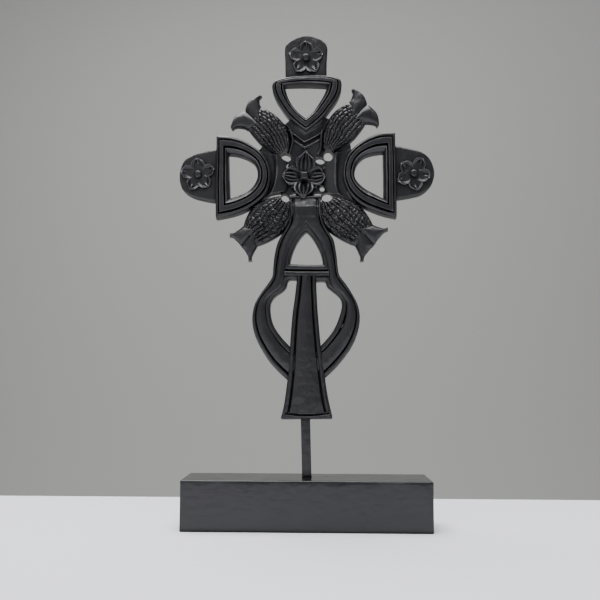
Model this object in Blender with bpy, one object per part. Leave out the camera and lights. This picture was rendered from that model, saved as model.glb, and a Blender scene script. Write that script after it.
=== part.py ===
"""A carved wooden cross, stained black, held up by a slim square post on a block base.

The cross is one pierced plank. It is drawn from the front, X across and Z up, in millimetres of
the carving at its full size. Each form of the carving is a run of ribs: a rib is a straight line
across the form, from one of its edges to the other, and a section says how high the wood stands
above the plank's back along that line. Every form of the plank runs down to its flat back.
"""

import math

import bmesh
import bpy
import numpy as np

# The block base
BASE_LENGTH = 0.217
BASE_DEPTH = 0.057
BASE_HEIGHT = 0.0435
BASE_EDGE_EASE = 0.0009

# The square post, and the blind sockets that hold its two ends
POST_SIDE = 0.0084
POST_SHOWING = 0.0515
POST_LEAN = math.radians(1.6)
POST_IN_BASE = 0.024
POST_IN_BLADE = 0.030
POST_EDGE_EASE = 0.0004
SOCKET_GAP = 0.0003

# The carving, from the foot of its blade to the top of its upper tab, and the plank it is cut from
CARVING_HEIGHT = 0.356
PLANK_THICKNESS = 0.015

# How tall and how thick the drawing is in its own units, and the level of the blade's foot in it
DRAWN_HEIGHT = 356.0
DRAWN_THICKNESS = 15.0
DRAWN_FOOT = 95.4

DRAWN = CARVING_HEIGHT / DRAWN_HEIGHT
DEEP = PLANK_THICKNESS / DRAWN_THICKNESS
CARVING_FOOT = BASE_HEIGHT + POST_SHOWING

STAIN_COLOUR = (0.012, 0.012, 0.014, 1.0)
CARVED_ROUGHNESS = 0.42
PLAIN_ROUGHNESS = 0.5
SHARP_FROM = math.radians(35.0)

# How finely a form is cut, the shortest edge that is kept, and the angle between facets that become one
ROUND_FRAME_STEPS = 2
LEG_RIM_STEPS = 2
PETAL_STEPS = 4
SIDE_STEPS = 4
TAIL_STEPS = 4
FISH_SCALE_ROWS = 8
FISH_SCALE_COLUMNS = 5
SHORTEST_EDGE = 2e-6
FLAT_ANGLE = math.radians(2.0)


def clear_scene():
    for item in list(bpy.data.objects):
        bpy.data.objects.remove(item, do_unlink=True)


def stained_wood(name, roughness):
    material = bpy.data.materials.new(name)
    material.use_nodes = True
    shader = material.node_tree.nodes["Principled BSDF"]
    shader.inputs["Base Color"].default_value = STAIN_COLOUR
    shader.inputs["Roughness"].default_value = roughness
    shader.inputs["Metallic"].default_value = 0.0
    return material


def in_wood(x, z, height):
    """Places of the drawing in metres, at heights above the plank's back."""
    return np.stack(
        [x * DRAWN, PLANK_THICKNESS / 2 - height * DEEP, CARVING_FOOT + (z - DRAWN_FOOT) * DRAWN],
        axis=-1,
    )


# Curves and sections


def smooth(points, steps):
    """A smooth curve through rows of numbers, with the same number of steps in each span."""
    points = np.array(points, float)
    if len(points) == 2:
        share = np.linspace(0, 1, steps + 1)[:, None]
        return points[0] * (1 - share) + points[1] * share
    chords = np.sqrt(np.linalg.norm(np.diff(points, axis=0), axis=1))
    knots = np.concatenate([[0], np.cumsum(chords)])
    slopes = np.diff(points, axis=0) / chords[:, None]
    before, after = chords[:-1, None], chords[1:, None]
    inner = (slopes[:-1] * after + slopes[1:] * before) / (before + after)
    tangents = np.vstack([2 * slopes[:1] - inner[:1], inner, 2 * slopes[-1:] - inner[-1:]])
    curve = []
    for k in range(len(points) - 1):
        length = knots[k + 1] - knots[k]
        for s in np.arange(steps) / steps:
            curve.append(
                (1 + 2 * s) * (1 - s) ** 2 * points[k]
                + s * (1 - s) ** 2 * length * tangents[k]
                + s * s * (3 - 2 * s) * points[k + 1]
                + s * s * (s - 1) * length * tangents[k + 1]
            )
    return np.array(curve + [points[-1]])


def bow(start, end, far_from, bulge, count):
    """Points along an arc that bows away from a point; bulge is its rise as a share of its chord."""
    start, end = np.array(start, float), np.array(end, float)
    chord = end - start
    across = np.array([-chord[1], chord[0]])
    if across @ (np.array(far_from) - start) > 0:
        across = -across
    share = np.linspace(0, 1, count)[:, None]
    return start + chord * share + across * bulge * 4 * share * (1 - share)


def flat_ribs(ribs):
    return [sum(rib, ()) for rib in ribs]


def placed(ribs, section, shares):
    """The closed outline across each rib, in metres, one row of points for each rib."""
    rows = []
    for rib, share in zip(ribs, shares):
        outline = np.array(section(share), float)
        points = np.reshape(rib, (-1, 2))
        marks = np.linspace(0, 1, len(points))
        x, z = (np.interp(outline[:, 0], marks, points[:, axis]) for axis in (0, 1))
        rows.append(in_wood(x, z, outline[:, 1]))
    return np.array(rows)


def body(name, rows, closed):
    """A closed mesh over rows of points; an open run of rows has its two ends capped."""
    count, around = rows.shape[:2]
    shape = bmesh.new()
    corners = [[shape.verts.new(point) for point in row] for row in rows]
    for i in range(count if closed else count - 1):
        near, far = corners[i], corners[(i + 1) % count]
        for j in range(around):
            k = (j + 1) % around
            shape.faces.new((near[j], near[k], far[k]))
            shape.faces.new((near[j], far[k], far[j]))
    if not closed:
        shape.faces.new(corners[0][::-1])
        shape.faces.new(corners[-1])
    bmesh.ops.recalc_face_normals(shape, faces=shape.faces)
    return finished(name, shape)


def finished(name, shape):
    mesh = bpy.data.meshes.new(name)
    shape.to_mesh(mesh)
    shape.free()
    item = bpy.data.objects.new(name, mesh)
    bpy.context.scene.collection.objects.link(item)
    return item


def strip(name, ribs, section, steps):
    """An open form: smooth along its ribs, with the section's outline across them."""
    flat = smooth(flat_ribs(ribs), steps)
    return body(name, placed(flat, section, np.linspace(0, 1, len(flat))), False)


def frame(name, runs, section, steps):
    """A closed form round a hole. Its runs meet in corners, where its grooves mitre."""
    flat = np.concatenate([smooth(flat_ribs(run), steps)[:-1] for run in runs])
    return body(name, placed(flat, section, np.zeros(len(flat))), True)


def down_to(back, front):
    """The carved front from edge to edge, closed by a flat back at the given height."""
    return list(front) + [(front[-1][0], back), (front[0][0], back)]


def plain(front, back=0.0):
    """A section that is the same all along its form."""
    return lambda share: down_to(back, front)


# Frames of the three arms: a rib runs from the hole's edge to the outer edge

FRAME_FRONT = [
    (0.0, 10.2), (0.12, 12.2), (0.25, 13.4), (0.33, 11.0), (0.40, 14.2), (0.56, 14.9), (0.71, 14.4),
    (0.77, 11.3), (0.82, 13.3), (0.93, 13.3), (1.0, 11.6),
]

TOP_FRAME_RUNS = [
    [((-22.0, 403.6), (-31.7, 406.7)), ((-11.9, 404.1), (-20.3, 410.7)),
     ((8.1, 403.9), (18.7, 412.0)), ((18.3, 403.1), (29.8, 408.4))],
    [((18.3, 403.1), (29.8, 408.4)), ((16.5, 398.6), (31.2, 402.5)), ((14.7, 394.1), (28.2, 392.0)),
     ((10.1, 386.3), (20.2, 380.3)), ((5.1, 378.7), (13.0, 371.3)), ((-2.4, 372.3), (-2.2, 359.0))],
    [((-2.4, 372.3), (-2.2, 359.0)), ((-9.4, 378.2), (-15.6, 370.0)), ((-14.6, 384.4), (-23.3, 379.8)),
     ((-18.6, 391.4), (-30.2, 391.0)), ((-20.5, 397.1), (-33.6, 401.0)),
     ((-22.0, 403.6), (-31.7, 406.7))],
]

LEFT_FRAME_RUNS = [
    [((-72.0, 296.1), (-84.4, 277.2)), ((-73.7, 338.3), (-84.8, 354.8))],
    [((-73.7, 338.3), (-84.8, 354.8)), ((-63.2, 336.7), (-64.9, 352.2)), ((-53.3, 332.3), (-47.9, 343.1)),
     ((-48.3, 326.9), (-37.4, 330.7)), ((-46.4, 317.8), (-34.0, 316.8)), ((-48.7, 310.5), (-37.3, 302.0)),
     ((-54.7, 303.3), (-47.9, 290.7)), ((-62.9, 299.2), (-62.7, 282.5)), ((-72.0, 296.1), (-84.4, 277.2))],
]

RIGHT_FRAME_RUNS = [
    [((69.6, 339.8), (80.4, 358.1)), ((69.7, 296.1), (81.3, 278.3))],
    [((69.7, 296.1), (81.3, 278.3)), ((60.7, 300.8), (62.8, 283.3)), ((53.0, 305.0), (46.6, 291.4)),
     ((46.1, 311.3), (36.5, 302.9)), ((43.1, 317.8), (32.1, 317.2)), ((45.0, 327.7), (34.8, 333.4)),
     ((50.4, 334.5), (44.2, 345.3)), ((59.3, 338.3), (62.8, 356.2)), ((69.6, 339.8), (80.4, 358.1))],
]

# Under the point of the top frame a hollow bevel falls to a sharp edge, which meets in a V

KEEL_FRONT = [(0.0, 11.6), (0.3, 10.4), (0.62, 9.0), (0.88, 8.7), (0.95, 10.0), (1.0, 9.4)]

LEFT_KEEL_RIBS = [
    ((-16.2, 371.6), (-22.8, 366.2)), ((-14.5, 369.4), (-18.6, 363.6)), ((-12.4, 367.0), (-15.3, 358.1)),
    ((-8.4, 364.0), (-9.8, 353.7)), ((-2.4, 360.4), (-3.2, 349.0)),
]

RIGHT_KEEL_RIBS = [
    ((13.4, 374.6), (20.6, 371.6)), ((12.6, 371.0), (16.8, 366.4)), ((10.2, 368.0), (12.9, 358.6)),
    ((4.2, 364.0), (4.3, 352.9)), ((-2.9, 360.4), (-3.8, 349.0)),
]


def arm_frames():
    section = plain(FRAME_FRONT)
    return [
        strip("left_keel", LEFT_KEEL_RIBS, plain(KEEL_FRONT), 1),
        strip("right_keel", RIGHT_KEEL_RIBS, plain(KEEL_FRONT), 1),
        frame("top_frame", TOP_FRAME_RUNS, section, 1),
        frame("left_frame", LEFT_FRAME_RUNS, section, ROUND_FRAME_STEPS),
        frame("right_frame", RIGHT_FRAME_RUNS, section, ROUND_FRAME_STEPS),
    ]


# Tabs at the ends of the three arms: thin slabs, set lower than the frames

TAB_FRONT = [(0.0, 9.0), (0.03, 10.1), (0.97, 10.1), (1.0, 9.0)]

TOP_TAB_RIBS = [
    ((-21.4, 406.0), (17.0, 406.0)), ((-21.7, 427.6), (17.4, 427.5)), ((-22.0, 440.0), (17.8, 440.1)),
    ((-20.5, 444.0), (16.0, 444.6)), ((-12.7, 449.0), (9.6, 449.2)), ((-2.6, 451.5), (-1.1, 451.5)),
]

LEFT_TAB_RIBS = [
    ((-79.2, 344.0), (-78.6, 292.4)), ((-96.6, 340.4), (-95.2, 294.9)), ((-108.9, 336.3), (-108.0, 298.7)),
    ((-115.0, 331.1), (-115.4, 304.1)), ((-118.1, 323.1), (-117.9, 309.5)), ((-118.8, 316.4), (-118.8, 314.0)),
]

RIGHT_TAB_RIBS = [
    ((76.2, 346.6), (75.5, 295.2)), ((93.4, 343.6), (95.6, 298.2)), ((105.3, 339.8), (105.9, 301.4)),
    ((112.4, 333.4), (113.1, 308.2)), ((115.6, 325.4), (115.6, 314.0)), ((116.4, 320.2), (116.4, 318.3)),
]


def arm_tabs():
    section = plain(TAB_FRONT)
    return [
        strip("top_tab", TOP_TAB_RIBS, section, 1),
        strip("left_tab", LEFT_TAB_RIBS, section, 1),
        strip("right_tab", RIGHT_TAB_RIBS, section, 1),
    ]


# Fish between the arms, nose to the hub: sides run from the nose to the root of the tail

FISH = {
    "upper_left": {
        "nose": (-22.0, 334.0),
        "left_side": [(-33.8, 339.5), (-43.6, 347.4), (-50.0, 354.6), (-55.4, 361.6)],
        "right_side": [(-16.5, 347.0), (-18.6, 361.4), (-29.7, 375.0), (-44.0, 383.2)],
        "left_tip": (-71.6, 362.8), "notch": (-58.6, 379.2), "right_tip": (-44.8, 394.2),
        "trailing_bulge": 0.22, "leading_bulge": 0.12, "tip": 1.0,
    },
    "upper_right": {
        "nose": (18.0, 336.0),
        "left_side": [(13.0, 349.0), (15.8, 364.3), (23.9, 378.2), (38.0, 387.0)],
        "right_side": [(30.8, 344.0), (41.6, 351.9), (48.7, 360.4), (53.4, 367.6)],
        "left_tip": (41.8, 400.2), "notch": (54.6, 385.2), "right_tip": (65.2, 364.9),
        "trailing_bulge": 0.20, "leading_bulge": 0.08, "tip": 2.6,
    },
    "lower_left": {
        "nose": (-21.5, 298.5),
        "left_side": [(-35.0, 297.2), (-48.7, 290.6), (-55.6, 281.2), (-59.3, 270.6)],
        "right_side": [(-13.5, 287.0), (-16.0, 272.6), (-28.3, 260.8), (-46.4, 252.3)],
        "left_tip": (-71.6, 262.2), "notch": (-61.0, 252.4), "right_tip": (-52.6, 238.0),
        "trailing_bulge": -0.02, "leading_bulge": 0.03, "tip": 4.6,
    },
    "lower_right": {
        "nose": (18.0, 298.5),
        "left_side": [(9.5, 287.0), (12.7, 273.0), (25.4, 261.6), (43.8, 252.8)],
        "right_side": [(31.5, 297.2), (45.7, 291.6), (54.0, 282.3), (59.8, 271.8)],
        "left_tip": (49.4, 237.8), "notch": (60.8, 253.6), "right_tip": (73.4, 268.0),
        "trailing_bulge": -0.03, "leading_bulge": 0.03, "tip": 3.6,
    },
}

FISH_EDGE = 7.6
FISH_CROWN = 15.2
FISH_SIDE_BACK = 2.0
FISH_BACK_INSET = 0.10
FISH_NOSE_WIDTH = (1.6, -0.6)
FISH_FULLNESS = 0.8
SCALE_DEPTH = 1.0
SCALE_STEP = 0.94
TAIL_CROWN = 12.2
TAIL_MIDDLE = 11.2
TAIL_EDGE = 8.2
TAIL_THINNING = 2.2
TAIL_BACK = 3.0
TAIL_LIFT = 0.3
TAIL_OVERLAP = 0.3
TAIL_INSIDE = 0.12


def scale_relief(along, across):
    """How far a scale is cut down: it rises towards the tail, and neighbouring ridges are staggered."""
    ridge = math.floor(across)
    in_scale = (along + 0.5 * (ridge % 2)) % 1.0
    groove = 1.0 - math.sin(math.pi * (across - ridge))
    at_nose = min(1.0, along)
    return SCALE_DEPTH * at_nose * max(groove, (1.0 - in_scale) ** 2)


def fish_section(share):
    """Half-round front with rows of scales, over a flat back with rounded edges."""
    swell = math.sin(math.pi * (0.10 + 0.80 * share)) ** 0.6
    points = FISH_SCALE_COLUMNS * 2
    front = []
    for k in range(points + 1):
        across = k / points
        dome = math.sqrt(max(0.0, 1.0 - (2 * across - 1) ** 2)) ** FISH_FULLNESS
        height = FISH_EDGE + (FISH_CROWN - FISH_EDGE) * dome * swell
        if 0 < k < points:
            height -= scale_relief(share * FISH_SCALE_ROWS, across * FISH_SCALE_COLUMNS)
        front.append((across, height))
    back = [(1.0, FISH_SIDE_BACK), (1 - FISH_BACK_INSET, 0.0), (FISH_BACK_INSET, 0.0), (0.0, FISH_SIDE_BACK)]
    return front + back


def tail_section(lift):
    """A horn of the tail, convex across, thinner towards its tip, and raised as a whole by lift."""

    def section(share):
        thin = TAIL_THINNING * share
        flank = TAIL_MIDDLE - thin / 2
        front = [
            (0.0, TAIL_EDGE), (0.25, flank), (0.5, TAIL_CROWN - thin), (0.75, flank), (1.0, TAIL_EDGE),
        ]
        return down_to(TAIL_BACK + lift, [(across, height + lift) for across, height in front])

    return section


def fish_body(name, fish):
    nose, half = np.array(fish["nose"]), np.array(FISH_NOSE_WIDTH) / 2
    left = smooth([nose - half] + [np.array(spot) for spot in fish["left_side"]], SIDE_STEPS)
    right = smooth([nose + half] + [np.array(spot) for spot in fish["right_side"]], SIDE_STEPS)
    marks = np.linspace(0, 1, len(left))
    rows = np.arange(FISH_SCALE_ROWS)
    shares = np.sort(np.concatenate([rows, rows + SCALE_STEP, [FISH_SCALE_ROWS]])) / FISH_SCALE_ROWS
    ribs = [
        [np.interp(share, marks, edge[:, axis]) for edge in (left, right) for axis in (0, 1)]
        for share in shares
    ]
    return body(name, placed(ribs, fish_section, shares), False)


def tail_lobe(name, fish, side, inside, lift):
    """One horn, from a line inside the body out to its tip; the two horns overlap at the notch."""
    root, tip, notch = fish[side + "_side"][-1], fish[side + "_tip"], fish["notch"]
    over = (notch - np.array(tip)) * TAIL_OVERLAP / np.linalg.norm(notch - np.array(tip))
    arc = bow(notch, tip, fish["nose"], fish["trailing_bulge"], TAIL_STEPS)
    trailing = np.vstack([[inside + over], arc[:1] + over, arc[1:]])
    leading = bow(root, tip, notch, -fish["leading_bulge"], TAIL_STEPS)
    leading = np.vstack([[(np.array(root) + inside) / 2], leading])
    width = trailing[-2] - leading[-2]
    leading[-1] = trailing[-1] - fish["tip"] * width / np.linalg.norm(width)
    return strip(name, [(tuple(a), tuple(b)) for a, b in zip(leading, trailing)], tail_section(lift), 1)


def fishes():
    items = []
    for name, fish in FISH.items():
        items.append(fish_body("fish_" + name, fish))
        middle = (np.array(fish["left_side"][-1]) + fish["right_side"][-1]) / 2
        inside = middle + (np.array(fish["nose"]) - middle) * TAIL_INSIDE
        for side, lift in (("left", 0.0), ("right", TAIL_LIFT)):
            items.append(tail_lobe(f"tail_{side}_{name}", fish, side, inside, lift))
    return items


# Lower part: two strands that run from the neck down its legs and round the ring to the blade

STRAND_BEAD = [(0.0, 11.2), (0.07, 12.8), (0.18, 12.6), (0.24, 11.1)]
STRAND_BAND = [(0.30, 13.4), (0.55, 14.4), (0.84, 13.9)]
BAND_SIDE_AT = 0.95
BAND_CREST = 14.4
BAND_SIDE = 12.8
BAND_FOOT = 10.6

# The two strands are one flat panel above the fork, and end sunk behind the blade's borders
FORK_SHARE = 0.15
FORK_BLEND = 0.05
PANEL_DROP = 0.6
TUCK_SHARE = 0.93
TUCK_DEPTH = 4.0

LEFT_STRAND_RIBS = [
    ((-15.6, 286.6), (-1.1, 286.6)), ((-16.3, 279.5), (-1.1, 278.6)), ((-18.7, 270.8), (-2.4, 271.1)),
    ((-23.3, 263.0), (-7.7, 264.1)), ((-27.0, 255.7), (-12.9, 256.2)), ((-30.1, 243.5), (-17.4, 244.6)),
    ((-31.3, 232.6), (-19.8, 232.7)), ((-32.1, 223.5), (-21.0, 222.0)), ((-36.6, 216.1), (-23.8, 213.6)),
    ((-42.9, 207.3), (-31.6, 207.3)), ((-47.8, 198.1), (-36.7, 201.1)), ((-50.0, 184.7), (-37.3, 189.5)),
    ((-48.0, 171.6), (-34.1, 178.1)), ((-42.0, 158.6), (-27.8, 167.1)), ((-32.2, 143.7), (-19.6, 157.2)),
    ((-20.5, 132.0), (-9.0, 147.6)), ((-12.0, 125.1), (-3.0, 141.1)),
]

RIGHT_STRAND_RIBS = [
    ((12.0, 286.4), (-1.9, 286.4)), ((12.8, 279.5), (-1.9, 278.4)), ((15.8, 270.3), (-0.4, 271.1)),
    ((20.4, 262.8), (5.1, 264.1)), ((23.9, 256.6), (10.2, 256.8)), ((26.3, 243.5), (15.3, 244.6)),
    ((27.6, 232.4), (17.9, 232.5)), ((29.2, 224.7), (19.2, 222.7)), ((34.8, 216.8), (22.8, 213.5)),
    ((40.3, 208.4), (29.5, 208.1)), ((45.4, 198.3), (34.4, 201.0)), ((47.5, 185.9), (34.7, 190.6)),
    ((45.0, 171.4), (31.4, 178.1)), ((39.2, 158.5), (25.4, 168.7)), ((28.4, 143.6), (16.4, 158.3)),
    ((17.0, 132.5), (6.4, 149.0)), ((8.0, 125.0), (-0.0, 142.0)),
]


def strand_section(share):
    """Outer bead, groove and broad band."""
    flat = min(1.0, max(0.0, (FORK_SHARE - share) / FORK_BLEND))
    tuck = TUCK_DEPTH * max(0.0, share - TUCK_SHARE) / (1 - TUCK_SHARE) + PANEL_DROP * flat
    side, foot = (low + (BAND_CREST - low) * flat for low in (BAND_SIDE, BAND_FOOT))
    front = STRAND_BEAD + STRAND_BAND + [(BAND_SIDE_AT, side), (1.0, foot)]
    return down_to(0.0, [(across, height - tuck) for across, height in front])


# Rims round the three lower holes: a rib runs from the hole's edge out to the groove

RIM_FRONT = [(0.0, 10.4), (0.10, 12.0), (0.5, 13.2), (0.80, 12.7), (1.0, 11.0)]

LEG_RIM_RUNS = [
    [((-1.3, 265.3), (-1.4, 273.8)), ((-8.0, 257.8), (-12.1, 260.9)), ((-13.1, 247.3), (-18.0, 248.8)),
     ((-16.0, 234.9), (-21.7, 229.3))],
    [((-16.0, 234.9), (-21.7, 229.3)), ((-0.6, 234.4), (-0.6, 228.7)), ((14.0, 234.5), (19.8, 228.8))],
    [((14.0, 234.5), (19.8, 228.8)), ((11.5, 246.2), (16.6, 247.8)), ((5.1, 258.3), (8.9, 261.5)),
     ((-1.3, 265.3), (-1.4, 273.8))],
]

LEFT_RING_RIM_RIBS = [
    ((-9.2, 220.4), (-9.2, 225.1)), ((-16.2, 220.5), (-20.2, 225.2)), ((-17.9, 219.0), (-23.3, 221.6)),
    ((-19.4, 213.8), (-24.8, 216.0)), ((-23.0, 209.8), (-28.0, 213.4)), ((-29.1, 205.6), (-33.5, 209.3)),
    ((-32.8, 200.8), (-37.7, 202.7)), ((-33.8, 192.8), (-38.8, 192.3)), ((-31.2, 180.2), (-36.0, 178.7)),
    ((-24.9, 170.0), (-29.1, 167.2)), ((-15.6, 159.6), (-19.3, 155.7)), ((-8.7, 151.8), (-11.7, 147.9)),
]

RIGHT_RING_RIM_RIBS = [
    ((7.1, 219.1), (7.1, 223.7)), ((15.6, 219.2), (19.8, 223.8)), ((16.4, 218.6), (21.5, 221.1)),
    ((18.0, 214.4), (23.2, 216.7)), ((22.6, 210.5), (26.8, 214.4)), ((28.1, 205.9), (31.9, 210.0)),
    ((30.8, 201.5), (35.6, 203.7)), ((31.1, 195.4), (36.0, 194.5)), ((28.0, 184.5), (32.9, 182.6)),
    ((24.0, 175.3), (28.6, 172.8)), ((18.1, 167.1), (22.3, 164.1)), ((11.8, 160.4), (15.3, 156.3)),
    ((5.0, 153.5), (7.5, 149.5)),
]

CROSSBAR_RIBS = [
    ((-20.8, 223.4), (-20.8, 229.0)), ((-1.0, 222.9), (-1.0, 228.6)), ((19.0, 223.4), (19.0, 228.8)),
]
CROSSBAR_FRONT = [(0.0, 11.2), (0.16, 13.4), (0.5, 14.1), (0.84, 13.4), (1.0, 11.2)]


def legs_and_ring():
    return [
        strip("left_strand", LEFT_STRAND_RIBS, strand_section, 1),
        strip("right_strand", RIGHT_STRAND_RIBS, strand_section, 1),
        frame("leg_rim", LEG_RIM_RUNS, plain(RIM_FRONT), LEG_RIM_STEPS),
        strip("left_ring_rim", LEFT_RING_RIM_RIBS, plain(RIM_FRONT), 1),
        strip("right_ring_rim", RIGHT_RING_RIM_RIBS, plain(RIM_FRONT), 1),
        strip("crossbar", CROSSBAR_RIBS, plain(CROSSBAR_FRONT), 1),
    ]


# The blade: a tapering panel with raised borders, which stands on the post

BLADE_RIBS = [
    ((-9.6, 225.0), (7.8, 225.0)), ((-10.2, 216.0), (8.0, 216.0)), ((-14.1, 182.0), (10.1, 182.0)),
    ((-16.8, 140.0), (14.8, 140.0)), ((-19.9, 112.6), (19.2, 112.2)), ((-22.4, 99.8), (22.0, 100.1)),
    ((-23.3, 96.3), (22.6, 96.9)), ((-22.8, 94.6), (22.5, 95.3)),
]

BLADE_LEVELS = BLADE_RIBS[0][0][1] - DRAWN_FOOT
BLADE_BORDER = 4.0
BLADE_BORDER_GROWTH = 1.4
BLADE_FRONT = 15.0
BLADE_EDGE_EASE = 1.8
BLADE_GROOVE = 12.9
BLADE_PANEL_EDGE = 13.9
BLADE_PANEL_CROWN = 14.7
BLADE_STRIP = 5.5
BLADE_STRIP_PANEL = 13.6
BLADE_FOOT_EASE = 1.2


def blade_section(width, level):
    """Border, groove, crowned panel, groove and border; level is the rib's height above the foot."""
    border = (BLADE_BORDER + BLADE_BORDER_GROWTH * (1 - level / BLADE_LEVELS)) / width
    drop = BLADE_FOOT_EASE if level < BLADE_FOOT_EASE else 0.0
    at_strip = level < BLADE_STRIP
    crown = BLADE_STRIP_PANEL if at_strip else BLADE_PANEL_CROWN
    side = min(BLADE_PANEL_EDGE, crown)
    left = [
        (0.0, BLADE_FRONT - BLADE_EDGE_EASE - drop), (border * 0.3, BLADE_FRONT - 0.25 - drop),
        (border * 0.75, BLADE_FRONT - drop), (border, BLADE_GROOVE), (border * 1.4, side),
    ]
    return down_to(0.0, left + [(0.5, crown)] + [(1 - across, height) for across, height in left[::-1]])


def blade():
    rows = [
        placed([rib], lambda share: blade_section(rib[2] - rib[0], rib[1] - DRAWN_FOOT), [0.0])[0]
        for rib in flat_ribs(BLADE_RIBS)
    ]
    return body("blade", np.array(rows), False)


# The hub: a pierced plate with a web under each upper fish, and the flared cuffs of the two arms

HUB_RIBS = [
    ((-18.5, 357.0), (14.5, 357.0)), ((-21.0, 346.0), (17.5, 346.0)), ((-26.5, 338.0), (23.5, 338.0)),
    ((-28.0, 318.0), (25.0, 318.0)), ((-24.0, 296.5), (21.0, 296.5)),
]
HUB_FRONT = [(0.0, 7.2), (1.0, 7.2)]
WEB_FRONT = [(0.0, 8.3), (1.0, 8.3)]
LEFT_WEB_RIBS = [((-46.0, 341.6), (-42.2, 346.2)), ((-30.0, 332.0), (-27.0, 343.0))]
RIGHT_WEB_RIBS = [((39.8, 344.0), (39.2, 348.2)), ((26.0, 335.0), (27.0, 345.0))]

# A cuff's rib has three points: beside the frame, on the arris, and beside the flower

LEFT_CUFF_RIBS = [
    ((-44.0, 341.0), (-29.6, 337.4), (-21.8, 335.0)), ((-41.0, 334.0), (-28.9, 333.0), (-19.4, 330.5)),
    ((-36.6, 325.5), (-28.6, 326.0), (-18.0, 325.5)), ((-34.8, 317.0), (-28.8, 318.4), (-17.5, 318.0)),
    ((-36.6, 307.0), (-30.0, 310.8), (-18.0, 310.0)), ((-43.5, 295.0), (-33.8, 300.4), (-20.0, 303.0)),
]

RIGHT_CUFF_RIBS = [
    ((43.5, 343.5), (26.8, 339.2), (19.2, 336.6)), ((37.6, 334.0), (25.6, 333.0), (16.0, 331.5)),
    ((33.8, 325.0), (25.2, 326.0), (14.5, 325.5)), ((32.6, 317.0), (25.2, 318.4), (14.0, 318.0)),
    ((34.3, 308.2), (25.4, 309.0), (14.5, 309.5)), ((41.5, 294.0), (28.4, 299.4), (18.0, 301.0)),
]

CUFF_FRONT = [(0.0, 10.4), (0.12, 8.7), (0.28, 8.7), (0.5, 13.0), (0.78, 11.5), (1.0, 8.6)]

# The top neck: a sunk band under the V, two facets that fall to the flower, and a raised edge each side

COLLAR_FRONT = [(0.0, 7.8), (0.7, 8.2), (0.86, 10.2), (1.0, 9.8)]
LEFT_COLLAR_RIBS = [
    ((-16.0, 360.2), (-14.6, 350.9)), ((-9.8, 355.6), (-9.4, 347.6)), ((-2.7, 351.2), (-2.2, 343.0)),
]
RIGHT_COLLAR_RIBS = [
    ((12.9, 360.2), (11.4, 351.2)), ((4.3, 355.0), (5.2, 347.4)), ((-4.2, 351.2), (-3.3, 343.0)),
]

LEFT_FACET_RIBS = [
    ((-15.4, 352.0), (-14.6, 350.4)), ((-15.8, 346.0), (-8.0, 346.2)), ((-17.0, 341.6), (-2.9, 343.2)),
    ((-18.4, 335.0), (-2.9, 335.0)),
]
RIGHT_FACET_RIBS = [
    ((13.4, 352.0), (11.6, 350.8)), ((13.0, 346.0), (3.4, 346.0)), ((12.2, 341.6), (-2.3, 343.2)),
    ((8.6, 335.0), (-2.3, 335.0)),
]
FACET_HEIGHTS = (10.0, 8.4)
FACET_TILT = 0.9

LEFT_NECK_EDGE_RIBS = [
    ((-18.4, 361.0), (-16.2, 360.0)), ((-16.4, 354.6), (-13.6, 354.6)), ((-15.6, 349.4), (-12.8, 349.4)),
    ((-17.4, 343.2), (-14.6, 343.0)), ((-19.2, 337.6), (-16.4, 337.0)),
]
RIGHT_NECK_EDGE_RIBS = [
    ((14.6, 361.0), (12.4, 360.0)), ((14.0, 354.6), (10.8, 354.6)), ((14.1, 349.3), (10.4, 349.3)),
    ((13.4, 342.6), (9.4, 343.0)), ((10.6, 337.0), (7.4, 338.4)),
]
NECK_EDGE_FRONT = [(0.0, 9.6), (0.25, 11.9), (0.6, 12.9), (1.0, 10.4)]
NECK_EDGE_FALL = 2.0

# The lower neck: a thin shelf over a panel that slopes out, rolls over and sinks between the legs

NECK_SHELF_RIBS = [
    ((-16.6, 295.2), (-16.2, 298.7)), ((-2.4, 294.9), (-2.4, 298.4)), ((11.8, 295.2), (11.4, 298.8)),
]
NECK_SHELF_FRONT = [(0.0, 10.0), (0.18, 12.6), (0.5, 13.2), (0.85, 12.6), (1.0, 10.8)]

NECK_PANEL_RIBS = [
    ((-16.2, 295.6), (11.6, 295.6)), ((-16.2, 291.2), (11.8, 291.2)), ((-16.2, 287.4), (12.0, 287.4)),
    ((-15.2, 284.6), (11.4, 284.6)), ((-12.8, 279.0), (9.0, 279.0)), ((-9.8, 272.8), (6.6, 272.8)),
]
NECK_PANEL_HEIGHTS = [9.4, 12.2, 14.9, 15.4, 15.0, 13.2]
NECK_PANEL_FRONT = [
    (0.0, -1.6), (0.05, 0.2), (0.11, -0.7), (0.16, 0.0), (0.84, 0.0), (0.89, -0.7), (0.95, 0.2), (1.0, -1.6),
]

# Each piercing of the hub: its middle, its half width and half height, and its turn in degrees
PIERCINGS = [
    ((-20.5, 335.3), (4.8, 3.6), -25.0), ((-19.3, 327.8), (0.9, 3.2), -8.0),
    ((18.7, 336.3), (4.3, 5.5), 8.0), ((11.0, 332.3), (4.5, 3.2), -14.0), ((15.5, 326.3), (1.1, 2.4), -40.0),
    ((-21.0, 296.4), (3.4, 4.6), 30.0), ((-13.2, 300.8), (2.3, 1.7), 10.0),
    ((13.2, 306.0), (2.4, 2.8), 0.0), ((17.6, 297.2), (4.8, 4.7), 40.0), ((9.2, 300.9), (3.8, 1.8), 4.0),
]
PIERCING_SIDES = 10
PIERCING_REACH = 2.0


def facet_section(share):
    """A flat facet that sinks towards the flower and tilts to the crease."""
    height = np.interp(share, (0, 1), FACET_HEIGHTS)
    return down_to(0.0, [(0.0, height), (1.0, height - FACET_TILT)])


def neck_edge_section(share):
    return down_to(0.0, [(across, height - NECK_EDGE_FALL * share) for across, height in NECK_EDGE_FRONT])


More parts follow.
